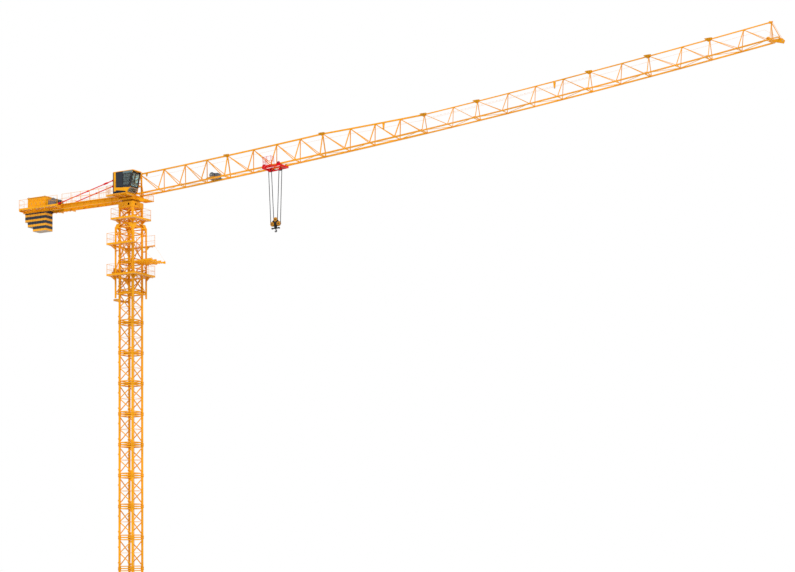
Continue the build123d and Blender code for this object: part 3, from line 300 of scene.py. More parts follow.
def painted_steel(name, colour, gloss=0.36, dust=0.22, wear=0.5, plate=0.0, under=0.0):
    """Gloss paint on steel: broad fading, rain streaks on upright faces, dust on level ones, small chips to
    primer, and a fine orange-peel bump. Plate adds the raised bars of chequer plate on faces that look up or
    down. Under is the share of painted sky light on faces that look down: a pale grey for sky seen through
    grating."""
    tree = Tree(name)
    deep = shade(colour, 0.80)
    pale = shade(colour, 1.06)
    up = tree.axis(tree.normal, "Z")
    fading = tree.noise(0.45, 3.0)
    patch = tree.noise(7.0, 4.0)
    runs = tree.noise(1.0, 3.0, tree.stretched((16.0, 16.0, 0.9)))
    grain = tree.noise(70.0, 3.0)
    tone = tree.mix(tree.ease(fading * 0.65 + patch * 0.35, 0.32, 0.66), deep, pale)
    streak = tree.ease(runs, 0.56, 0.74) * (1 - up * up) * (0.35 * wear)
    tone = tree.mix(streak, tone, shade(colour, 0.5))
    settled = tree.ease(up * 0.7 + patch * 0.45, 0.55, 0.98) * dust
    tone = tree.mix(settled * 0.5, tone, from_screen(186, 146, 88))
    chip = tree.ease(grain, 0.66, 0.70) * tree.ease(patch, 0.50, 0.62) * wear
    tone = tree.mix(chip, tone, from_screen(92, 70, 52))
    rough = patch * 0.16 + (gloss - 0.08) + settled * 0.3 + chip * 0.25
    height = grain * 0.35 - chip * 0.8
    if plate:
        turned = tree.stretched((2 * math.pi / plate,) * 3, (0.0, 0.0, math.pi / 4))
        one = tree.maths("SINE", tree.axis(turned, "X"), 0.0)
        two = tree.maths("SINE", tree.axis(turned, "Y"), 0.0)
        raised = tree.ease(one * two, 0.25, 0.55) * up * up
        height = height * 0.5 + raised * 2.2
        tone = tree.mix(raised * 0.25, tone, shade(colour, 0.7))
    # Painted light: faces that look down turn pale grey, standing for sky light seen through the deck grating
    if under:
        grating_sky_light = tree.ease(tree.maths("MULTIPLY", up, -1.0), 0.6, 0.8) * tree.ease(patch, 0.36, 0.56)
        tone = tree.mix(grating_sky_light * under, tone, from_screen(214, 206, 192))
    return tree.surface(Base_Color=tone, Roughness=rough, Normal=tree.bump(height, 0.35, 0.0016),
                        Specular_IOR_Level=0.12)


def striped_ballast(name, light, dark):
    """Cast slabs painted in level bands: the remainder of the height over one band's pitch, chalky roughness,
    bare grey undersides."""
    tree = Tree(name)
    up = tree.axis(tree.normal, "Z")
    high = tree.axis(tree.place, "Z")
    wobble = tree.noise(22.0, 4.0) * 0.006
    band = tree.maths("MODULO", (high + wobble) - 19.3, 0.2425)
    stripe = tree.ease(band, 0.101, 0.105)
    stripe = stripe * (1 - tree.ease(band, 0.2385, 0.2425))
    patch = tree.noise(4.0, 4.0)
    pores = tree.noise(95.0, 3.0)
    worn = tree.ease(tree.noise(30.0, 5.0), 0.64, 0.72) * tree.ease(patch, 0.48, 0.62)
    tone = tree.mix(stripe, tree.mix(patch, shade(light, 0.94), light),
                    tree.mix(patch, dark, shade(dark, 1.25)))
    tone = tree.mix(worn * 0.5, tone, from_screen(128, 122, 114))
    bare = tree.ease(tree.maths("MULTIPLY", up, -1.0), 0.6, 0.8)
    tone = tree.mix(bare, tone, tree.mix(patch, from_screen(140, 126, 112), from_screen(176, 166, 154)))
    height = pores * 0.6 + tree.ease(pores, 0.3, 0.42)
    return tree.surface(Base_Color=tone, Roughness=patch * 0.2 + 0.5, Normal=tree.bump(height, 0.4, 0.003))


def bare_metal(name, colour, metal=0.85, rough=0.38, grease=0.3):
    """Machined or forged steel: fine turning marks, oily dark patches that are smoother, slight pitting."""
    tree = Tree(name)
    patch = tree.noise(9.0, 4.0)
    marks = tree.noise(1.0, 2.0, tree.stretched((240.0, 12.0, 240.0)))
    pits = tree.noise(120.0, 3.0)
    oily = tree.ease(patch, 0.48, 0.64) * grease
    tone = tree.mix(patch, shade(colour, 0.78), shade(colour, 1.2))
    tone = tree.mix(oily, tone, from_screen(26, 24, 22))
    height = marks * 0.5 + pits * 0.5
    return tree.surface(
        Base_Color=tone, Metallic=metal - oily * 0.5, Roughness=marks * 0.18 + rough - oily * 0.12,
        Normal=tree.bump(height, 0.3, 0.001))


def jack_steel(name, low, high):
    """Climbing jack: the crosshead in crane paint up to its top, dark oily paint above that height."""
    tree = Tree(name)
    patch = tree.noise(9.0, 4.0)
    above = tree.ease(tree.axis(tree.place, "Z"), CROSSHEAD_TOP - 0.002, CROSSHEAD_TOP + 0.002)
    tone = tree.mix(above, tree.mix(patch, shade(low, 0.85), low),
                    tree.mix(patch, shade(high, 0.7), high))
    return tree.surface(Base_Color=tone, Roughness=patch * 0.2 + 0.32, Specular_IOR_Level=0.3,
                        Normal=tree.bump(tree.noise(80.0), 0.3, 0.001))


def laid_rope(name, colour):
    """Wire rope: strands as a slanted wave round the run, greasy in patches. Reads the piece's own UV map,
    whose U goes round the rope and V along it in metres."""
    tree = Tree(name)
    uv = tree.node("ShaderNodeUVMap", {"uv_map": "lay"})
    turns = tree.axis(uv, "X") * (6 * 2 * math.pi) + tree.axis(uv, "Y") * 180.0
    strand = tree.maths("SINE", turns, 0.0) * 0.5 + 0.5
    patch = tree.noise(6.0, 3.0)
    # Painted shade and highlight: the tone follows the strand wave, dark in the grooves between strands and
    # light on their crowns
    tone = tree.mix(strand * 0.75 + patch * 0.25, shade(colour, 0.45), shade(colour, 1.25))
    return tree.surface(Base_Color=tone, Metallic=0.55, Roughness=patch * 0.2 + 0.42,
                        Normal=tree.bump(strand, 0.8, 0.0012))


def tinted_glass(name, colour, shaded_tint):
    """Cab glazing: clear and pale in every pane but the near side one, which takes a darker tint as painted
    shade; darker along the top, with rain marks that roughen it."""
    tree = Tree(name)
    marks = tree.noise(1.0, 4.0, tree.stretched((26.0, 26.0, 5.0)))
    spots = tree.ease(tree.noise(55.0, 4.0), 0.60, 0.74)
    high = tree.axis(tree.place, "Z")
    across = tree.axis(tree.place, "Y")
    # Painted shade: panes near the cab's -Y side take the darker tint, the rest the pale one
    front = tree.ease(across, CAB_NEAR + 0.02, CAB_NEAR + 0.05)
    band = tree.ease(high, CAB_FLOOR + 0.8, CAB_FLOOR + 0.88)
    side = tree.mix(marks * 0.3, shaded_tint, shade(shaded_tint, 0.6))
    tone = tree.mix(band * 0.4 + marks * 0.15, tree.mix(front, side, colour), shaded_tint)
    return tree.surface(Base_Color=tone, Roughness=spots * 0.08 + marks * 0.04 + 0.02,
                        Normal=tree.bump(marks, 0.05, 0.001), Transmission_Weight=0.92, IOR=1.45,
                        Specular_IOR_Level=0.5)


def moulded(name, colour, rough=0.55, grain=260.0):
    """Rubber or moulded plastic: even colour with slight mottling and a fine leathery bump."""
    tree = Tree(name)
    patch = tree.noise(14.0, 3.0)
    skin = tree.noise(grain, 2.0)
    tone = tree.mix(patch, shade(colour, 0.82), tuple(min(1, 1.18 * v + 0.004) for v in colour))
    return tree.surface(Base_Color=tone, Roughness=patch * 0.15 + rough, Normal=tree.bump(skin, 0.3, 0.0008))


FINISHES = {}


def finish(name):
    """The finish with that name, made on first use."""
    if name not in FINISHES:
        paint = bpy.context.scene.crane_paint
        crane = tuple(paint.crane)
        red = tuple(paint.red)
        navy = tuple(paint.navy)
        grey = tuple(paint.machine)
        makers = {
            "base_paint": (painted_steel, crane, 0.42, 0.45, 0.9),
            "mast_paint": (painted_steel, crane, 0.36, 0.2, 0.55),
            "cage_paint": (painted_steel, crane, 0.36, 0.22, 0.6),
            # The last value is the share of painted sky light, pale grey, on the deck undersides
            "deck_paint": (painted_steel, crane, 0.45, 0.4, 0.8, 0.042, 0.7),
            "rail_paint": (painted_steel, crane, 0.38, 0.15, 0.4),
            "jack_paint": (jack_steel, shade(crane, 0.8), from_screen(58, 54, 52)),
            "shaded_crane_paint": (painted_steel, shade(crane, 0.72), 0.42, 0.2, 0.7),
            # Painted shade: a darker copy of the crane paint for joint collars, landings, pins and wedges
            # that lie in shadow
            "support_paint": (painted_steel, crane, 0.36, 0.25, 0.55),
            # Painted shade: the slewing ring is the crane paint darkened to 0.62 for the shade under the
            # turntable
            "ring_steel": (painted_steel, shade(crane, 0.62), 0.42, 0.3, 0.9),
            "machine_grey": (painted_steel, grey, 0.42, 0.3, 0.6),
            "cab_paint": (painted_steel, crane, 0.28, 0.15, 0.3),
            # The second tint is the painted shade of the near side pane
            "cab_glass": (tinted_glass, tuple(paint.glass), from_screen(176, 204, 206)),
            "tie_red": (painted_steel, red, 0.34, 0.12, 0.4),
            "cabinet_paint": (painted_steel, crane, 0.34, 0.25, 0.4),
            "ballast_paint": (striped_ballast, shade(crane, 1.1), navy),
            "jib_paint": (painted_steel, crane, 0.36, 0.18, 0.45),
            "trolley_red": (painted_steel, red, 0.34, 0.15, 0.5),
            "wheel_steel": (bare_metal, from_screen(84, 84, 86), 0.85, 0.35, 0.4),
            "rope_steel": (laid_rope, from_screen(30, 30, 32)),
            "block_black": (painted_steel, from_screen(34, 33, 32), 0.36, 0.3, 0.7),
            "sheave_paint": (painted_steel, from_screen(206, 140, 38), 0.4, 0.2, 0.9),
            "hook_black": (bare_metal, from_screen(24, 24, 26), 0.3, 0.5, 0.3),
            "navy_paint": (painted_steel, navy, 0.32, 0.12, 0.35),
            "panel_grey": (painted_steel, from_screen(50, 56, 64), 0.3, 0.1, 0.25),
            "pane_grey": (painted_steel, from_screen(104, 126, 130), 0.2, 0.1, 0.1),
            "rubber": (moulded, from_screen(24, 25, 27), 0.6),
            "seat_shell": (moulded, from_screen(46, 50, 56), 0.5, 180.0),
            "zinc": (bare_metal, from_screen(168, 166, 158), 0.75, 0.42, 0.35),
            "cable_sheath": (moulded, from_screen(30, 30, 32), 0.5, 320.0),
            "lamp_lens": (moulded, from_screen(198, 44, 30), 0.2, 90.0),
        }
        maker, *values = makers[name]
        FINISHES[name] = maker(name, *values)
    return FINISHES[name]


def circle(radius, sides, turn=0.0):
    """Regular polygon: radius times the cosine and sine of equal steps of angle."""
    angle = turn + np.arange(sides) * 2 * math.pi / sides
    return radius * np.stack([np.cos(angle), np.sin(angle)], 1)


def rectangle(width, depth):
    """Four corners of a rectangle about its centre."""
    return SIGNS * (width / 2, depth / 2)


def angle_iron(side, thick):
    """L-shaped section about the middle of its corner."""
    corners = [(0, 0), (side, 0), (side, thick), (thick, thick), (thick, side), (0, side)]
    return np.array(corners) - side / 3


def rounded(low, high, radius, steps=4):
    """Rectangle between two corners with quarter-circle corners."""
    turn = np.linspace(0, math.pi / 2, steps)
    quarters = []
    for corner, (sx, sy) in enumerate(((1, -1), (1, 1), (-1, 1), (-1, -1))):
        angle = turn + (corner - 1) * math.pi / 2
        centre = np.where(np.array([sx, sy]) > 0, np.array(high) - radius, np.array(low) + radius)
        quarters.append(centre + radius * np.stack([np.cos(angle), np.sin(angle)], 1))
    return np.concatenate(quarters)


def offset(outline, distance):
    """Closed outline moved outwards: each corner goes along the sum of its edges' normals, mitred."""
    outline = np.asarray(outline, float)
    edge = np.roll(outline, -1, 0) - outline
    edge /= np.linalg.norm(edge, axis=1, keepdims=True)
    normal = np.stack([edge[:, 1], -edge[:, 0]], 1)
    before = np.roll(normal, 1, 0)
    share = 1 + np.sum(normal * before, 1, keepdims=True)
    return outline + distance * (normal + before) / share


class Shell:
    """Closed surfaces of one piece. Each is a stack of rings of points joined by quads, capped or closed."""

    def __init__(self):
        self.clear()

    def clear(self):
        self.points = []
        self.faces = []
        self.tones = []
        self.lays = []
        self.count = 0

    def stack(self, rings, tone=0, closed=False):
        """Rings (pieces, rings, sides, 3): quads between neighbours, end caps, or a joint to the first ring.
        Each quad's corners also get a lay: turns round the ring, and metres along the ring's first point."""
        rings = np.asarray(rings, float)
        if rings.ndim == 3:
            rings = rings[None]
        pieces, levels, sides = rings.shape[:3]
        number = self.count + np.arange(pieces * levels * sides).reshape(pieces, levels, sides)
        upper = np.roll(number, -1, 1) if closed else number[:, 1:]
        lower = number if closed else number[:, :-1]
        quads = np.stack([lower, np.roll(lower, -1, 2), np.roll(upper, -1, 2), upper], -1).reshape(-1, 4)
        groups = [quads]
        step = np.linalg.norm(np.diff(rings[:, :, 0], axis=1), axis=2)
        far = np.concatenate([np.zeros((pieces, 1)), np.cumsum(step, 1)], 1)
        far = np.broadcast_to(far[:, :, None], number.shape)
        near_far = np.stack([far[:, :len(lower[0])], far[:, 1:] if not closed else np.roll(far, -1, 1)], -1)
        turn = np.broadcast_to(np.arange(sides) / sides, lower.shape)
        u = np.stack([turn, turn + 1 / sides, turn + 1 / sides, turn], -1)
        v = near_far[..., [0, 0, 1, 1]]
        self.lays.append(np.stack([u, v], -1).reshape(-1, 2))
        if not closed:
            groups += [number[:, 0, ::-1], number[:, -1]]
            self.lays.append(np.zeros((2 * pieces * sides, 2)))
        self.faces += groups
        self.tones += [np.full(len(group), tone) for group in groups]
        self.points.append(rings.reshape(-1, 3))
        self.count += number.size

    def rods(self, starts, ends, profile, tone=0):
        """Straight bars: the profile, its first axis level and its second rising, at each start and end.
        A pair as profile is a rectangle's width and depth."""
        profile = rectangle(*profile) if isinstance(profile, tuple) else profile
        starts, ends = np.broadcast_arrays(*(np.atleast_2d(np.asarray(one, float)) for one in (starts, ends)))
        run = ends - starts
        run = run / np.linalg.norm(run, axis=1, keepdims=True)
        level = np.stack([-run[:, 1], run[:, 0], np.zeros(len(run))], 1)
        level[np.linalg.norm(level, axis=1) < 1e-6] = X_AXIS
        level /= np.linalg.norm(level, axis=1, keepdims=True)
        rise = np.cross(run, level)
        across = profile[:, 0, None] * level[:, None] + profile[:, 1, None] * rise[:, None]
        self.stack(np.stack([starts[:, None] + across, ends[:, None] + across], 1), tone)

    def bars(self, starts, run, profile, tone=0):
        """Rods that all run the same way from their starts."""
        self.rods(starts, np.asarray(starts) + run, profile, tone)

    def turned(self, centres, axis, profile, sides=20, tone=0, closed=False):
        """Turned pieces: radius and reach pairs of the profile swept by cosine and sine about the axis."""
        centres = np.atleast_2d(np.asarray(centres, float))
        axis = np.asarray(axis, float) / np.linalg.norm(axis)
        first = np.cross(axis, Z_AXIS if abs(axis[2]) < 0.9 else X_AXIS)
        first /= np.linalg.norm(first)
        second = np.cross(axis, first)
        spokes = circle(1.0, sides) @ np.stack([first, second])
        profile = np.asarray(profile, float)
        rings = profile[:, 0, None, None] * spokes + profile[:, 1, None, None] * axis
        self.stack(centres[:, None, None] + rings, tone, closed)

    def plates(self, origins, right, up, outline, thick, tone=0):
        """Plates: an outline on two axes, at each origin, carried along their cross product."""
        origins = np.atleast_2d(np.asarray(origins, float))
        right = np.asarray(right, float)
        up = np.asarray(up, float)
        face = np.asarray(outline, float) @ np.stack([right, up])
        away = np.cross(right, up) * thick
        self.stack(origins[:, None, None] + np.stack([face, face + away])[None], tone)

    def upright(self, origins, outline, thick, tone=0):
        """Plates that stand along X: the outline's axes are X and Z, so a positive thickness goes to -Y."""
        self.plates(origins, X_AXIS, Z_AXIS, outline, thick, tone)

    def box(self, low, high, tone=0):
        """Plain block as a plate, for feet, caps and pads inside a larger piece."""
        low = np.asarray(low, float)
        size = np.asarray(high, float) - low
        self.plates(
            low + (size[0] / 2, size[1] / 2, 0), X_AXIS, Y_AXIS, rectangle(size[0], size[1]), size[2], tone)

    def border(self, origin, right, up, outline, inside, outside, thick, tone=0):
        """Closed frame round an outline: four loops, offset in and out, at the face and at the thickness."""
        right = np.asarray(right, float)
        up = np.asarray(up, float)
        away = np.cross(right, up) * thick
        inner = offset(outline, -inside) @ np.stack([right, up])
        outer = offset(outline, outside) @ np.stack([right, up])
        self.stack(
            np.asarray(origin, float) + np.stack([outer, outer + away, inner + away, inner]), tone,
            closed=True)

    def pipe(self, path, radius, sides=8, tone=0, side=Y_AXIS, closed=False):
        """Tube along a path: circles square to the path's direction, which is its central difference."""
        path = np.asarray(path, float)
        if closed:
            run = np.roll(path, -1, 0) - np.roll(path, 1, 0)
        else:
            run = np.gradient(path, axis=0)
        run /= np.linalg.norm(run, axis=1, keepdims=True)
        first = np.cross(side, run)
        first /= np.linalg.norm(first, axis=1, keepdims=True)
        second = np.cross(run, first)
        ring = circle(1.0, sides)
        radius = np.broadcast_to(radius, len(path))[:, None, None]
        rings = path[:, None] + radius * (
            ring[:, 0, None] * first[:, None] + ring[:, 1, None] * second[:, None])
        self.stack(rings, tone, closed)

    def bolts(self, centres, axis, radius, height, tone=0):
        """Hexagon heads with a chamfered top on a washer."""
        profile = [
            (radius * 1.35, 0), (radius * 1.35, height * 0.2), (radius, height * 0.2),
            (radius, height * 0.85), (radius * 0.8, height)]
        self.turned(centres, axis, profile, 6, tone)

    def piece(self, name, body, slot, finishes=(), bevel=0.0, smooth=35.0, stands_for=()):
        """One object from all the surfaces, riding on a body, with its finishes by tone (the slot's own if
        none is named). The shell is empty again after it."""
        mesh = bpy.data.meshes.new(name)
        faces = [face for group in self.faces for face in group.tolist()]
        mesh.from_pydata(np.concatenate(self.points).tolist(), [], faces)
        mesh.polygons.foreach_set("material_index", np.concatenate(self.tones).astype(np.int32))
        lay = mesh.uv_layers.new(name="lay")
        lay.data.foreach_set("uv", np.concatenate(self.lays).ravel())
        for one in finishes or (slot,):
            mesh.materials.append(finish(one))
        work = bmesh.new()
        work.from_mesh(mesh)
        bmesh.ops.recalc_face_normals(work, faces=work.faces)
        work.to_mesh(mesh)
        work.free()
        mesh.shade_smooth()
        mesh.set_sharp_from_angle(angle=math.radians(smooth))
        made = bpy.data.objects.new(name, mesh)
        bpy.context.scene.collection.objects.link(made)
        if bevel:
            edge = made.modifiers.new("edge", "BEVEL")
            edge.width = bevel
            edge.segments = 2
            edge.limit_method = "ANGLE"
        if body:
            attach(made, body)
        if stands_for:
            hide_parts(*stands_for)
        self.clear()
        return made


def points(x, y, z):
    """Points from x, y and z, each one number or a row of them."""
    return np.stack(np.broadcast_arrays(np.asarray(x, float), np.asarray(y, float), np.asarray(z, float)), -1)


def around(centre, radius, count, up=Z_AXIS):
    """Even points round a centre: radius times cosine along X and sine along the second axis."""
    return np.asarray(centre, float) + circle(radius, count) @ np.stack([X_AXIS, up])


def pin(radius, length, lip, slope):
    """Profile of a round pin whose ends slope in by a lip."""
    return [(radius - lip, 0), (radius, slope), (radius, length - slope), (radius - lip, length)]


def headed_pin(radius, shank, length, head, lip, slope):
    """Profile of a pin with a head at each end of its thinner shank."""
    half = [(radius - lip, 0), (radius, slope), (radius, head), (shank, head)]
    return half + [(wide, length - reach) for wide, reach in half[::-1]]


def fins(places, core, rim, steps):
    """Profile of cooling fins: out from the core to the rim and back at each place, at four steps from it."""
    return [(radius, place + step) for place in places for radius, step in zip((core, rim, rim, core), steps)]


def rows(*axes):
    """Every combination of the given values, as rows of points."""
    return np.stack([one.ravel() for one in np.meshgrid(*axes, indexing="ij")], 1)


def square_turns(spots):
    """The spots turned about the tower axis by 0, 90, 180 and 270 degrees, one after the other."""
    quarter = spots[:, [1, 0, 2]]
    return np.concatenate([spots, quarter * (-1, 1, 1), spots * (-1, -1, 1), quarter * (1, -1, 1)])


class CRANE_OT_finishes(bpy.types.Operator):
    """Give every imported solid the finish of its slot"""

    bl_idname = "crane.finishes"
    bl_label = "Finishes of the solids"

    def execute(self, context):
        for part in frame["record"]["subparts"]:
            solid = frame["nodes"][part["node"]]
            if not solid.material_slots:
                solid.data.materials.append(None)
            for place in solid.material_slots:
                place.material = finish(part["material_slot"])
        return {"FINISHED"}


def build_mast_fittings(sizes):
    """Plates, bolts, bars, ladder and landings, set out from the heights of the mast joints."""
    joints = BASE_TOP + SECTION * np.arange(MAST_SECTIONS + 1)
    inner = joints[1:-1]
    spots = rows(LEG_AT * np.array([-1.0, 1.0]), LEG_AT * np.array([-1.0, 1.0]), inner)
    shell = Shell()
    shell.rods(spots - (0, 0, 0.078), spots + (0, 0, 0.078), (0.094, 0.094))
    heads = rows((-0.025, 0.025), (-0.042, 0.042), inner)
    level = heads[:, 1] + heads[:, 2]
    face = LEG_AT + 0.05
    for sx, sy in SIGNS:
        shell.bolts(points(sx * face, sy * LEG_AT + heads[:, 0], level), (sx, 0, 0), sizes.bolt, 0.014, 1)
        shell.bolts(points(sx * LEG_AT + heads[:, 0], sy * face, level), (0, sy, 0), sizes.bolt, 0.014, 1)
    # Joint collars and bolts take the darker copy of the crane paint, painted shade
    shell.piece("mast_joint_bolts", "tower", "mast_paint", ["shaded_crane_paint", "shaded_crane_paint"])

    waist = BASE_TOP + SECTION * (np.arange(MAST_SECTIONS) + 0.5)
    for here, there in zip(SIGNS, np.roll(SIGNS, -1, 0)):
        start = points(*(here * LEG_AT), waist)
        end = points(*(there * LEG_AT), waist)
        shell.rods(start, end, angle_iron(0.016, 0.004))
    shell.piece("mast_mid_bars", "tower", "mast_paint")

    stiles = np.array([(0.2, -0.19, 0.31), (0.2, -0.03, 0.31)])
    shell.rods(stiles, stiles * (1, 1, 0) + (0, 0, MAST_TOP - 0.05), (0.026, 0.008))
    rungs = np.arange(0.45, MAST_TOP - 0.1, sizes.rung_step)
    shell.bars(points(0.2, -0.19, rungs), (0, 0.16, 0), circle(0.0055, 6))
    belts = np.concatenate([joints[:-1] + 0.102, joints[1:] - 0.102])
    for y in (-0.19, -0.03):
        shell.bars(points(0.205, y, belts), (LEG_AT - 0.205, 0, 0), (0.018, 0.008))
    shell.piece("mast_ladder", "tower", "mast_paint", ["rail_paint"])

    floor = joints[1:-1]
    for x in (-0.30, 0.12, 0.30):
        shell.bars(points(x, -LEG_AT, floor - 0.012), (0, 2 * LEG_AT, 0), (0.03, 0.03))
    slats = rows(-0.34, np.arange(-0.34, 0.35, 0.034), floor + 0.008)
    shell.bars(slats, (0.46, 0, 0), (0.024, 0.010), 1)
    shell.rods(slats + (0.5, 0, 0), slats + (0.68, 0, 0), (0.024, 0.010), 1)
    for sy in (-1, 1):
        shell.bars(points(-LEG_AT, sy * LEG_AT, floor), (2 * LEG_AT, 0, 0), (0.012, 0.05))
        shell.bars(points(sy * LEG_AT, -LEG_AT, floor), (0, 2 * LEG_AT, 0), (0.012, 0.05))
    # Landing slats take the darker copy of the crane paint, painted shade for the landings' undersides
    shell.piece("mast_landings", "tower", "mast_paint", ["mast_paint", "shaded_crane_paint"])


class CRANE_OT_mast_fittings(bpy.types.Operator):
    """Joint plates and bolts, mid bars, ladder and landings of the mast"""

    bl_idname = "crane.mast_fittings"
    bl_label = "Mast fittings"

    def execute(self, context):
        build_mast_fittings(context.scene.crane_fittings)
        return {"FINISHED"}


def build_base_fittings():
    """Nuts, ribs and pins, set out along the four diagonals of the base."""
    way = np.array([(1, 1), (-1, 1), (-1, -1), (1, -1)]) / math.sqrt(2)
    square = np.stack([-way[:, 1], way[:, 0]], 1)
    shell = Shell()
    for side in (-0.064, 0.064):
        spot = points(*(way * 1.12 + square * side).T, 0.028)
        shell.turned(
            spot, Z_AXIS, [(0.025, 0), (0.025, 0.004), (0.012, 0.004), (0.012, 0.062), (0.009, 0.066)], 14, 1)
        shell.bolts(spot + (0, 0, 0.004), Z_AXIS, 0.0205, 0.02, 1)
    rib = [(0.014, 0.028), (0.086, 0.028), (0.086, 0.272), (0.014, 0.272)]
    for reach in (0.36, 0.68, 0.84, 1.04):
        for side in (-1, 1):
            for along, across in zip(way, square):
                origin = np.append(along * reach, 0.0)
                shell.plates(origin, np.append(across * side, 0), Z_AXIS, rib, 0.012)
    shell.piece("base_anchors_and_ribs", "tower", "base_paint", ["base_paint", "zinc"], bevel=0.0012)

    for along, across in zip(way, square):
        middle = np.append(along * 0.93, 0.385)
        shell.turned(middle - np.append(across, 0) * 0.062, np.append(across, 0),
                     headed_pin(0.024, 0.016, 0.124, 0.02, 0.004, 0.004), 16)
    shell.piece("base_strut_pins", "tower", "base_paint", ["zinc"])


class CRANE_OT_base_fittings(bpy.types.Operator):
    """Anchor nuts, girder stiffeners and strut pins of the base"""

    bl_idname = "crane.base_fittings"
    bl_label = "Base fittings"

    def execute(self, context):
        build_base_fittings()
        return {"FINISHED"}


def guard_infill(shell, starts, ends, low, high, wires, radius):
    """Upright wires between two heights along a run, and one wire level with it at 0.27 of the height."""
    start = np.asarray(starts, float)
    run = np.asarray(ends, float) - start
    share = (np.arange(wires) + 0.5)[:, None] / wires
    foot = start + share * run
    shell.rods(foot + (0, 0, low), foot + (0, 0, high), circle(radius, 5))
    knee = low + (high - low) * 0.27
    shell.rods(start + (0, 0, knee), start + run + (0, 0, knee), circle(radius * 1.3, 5))


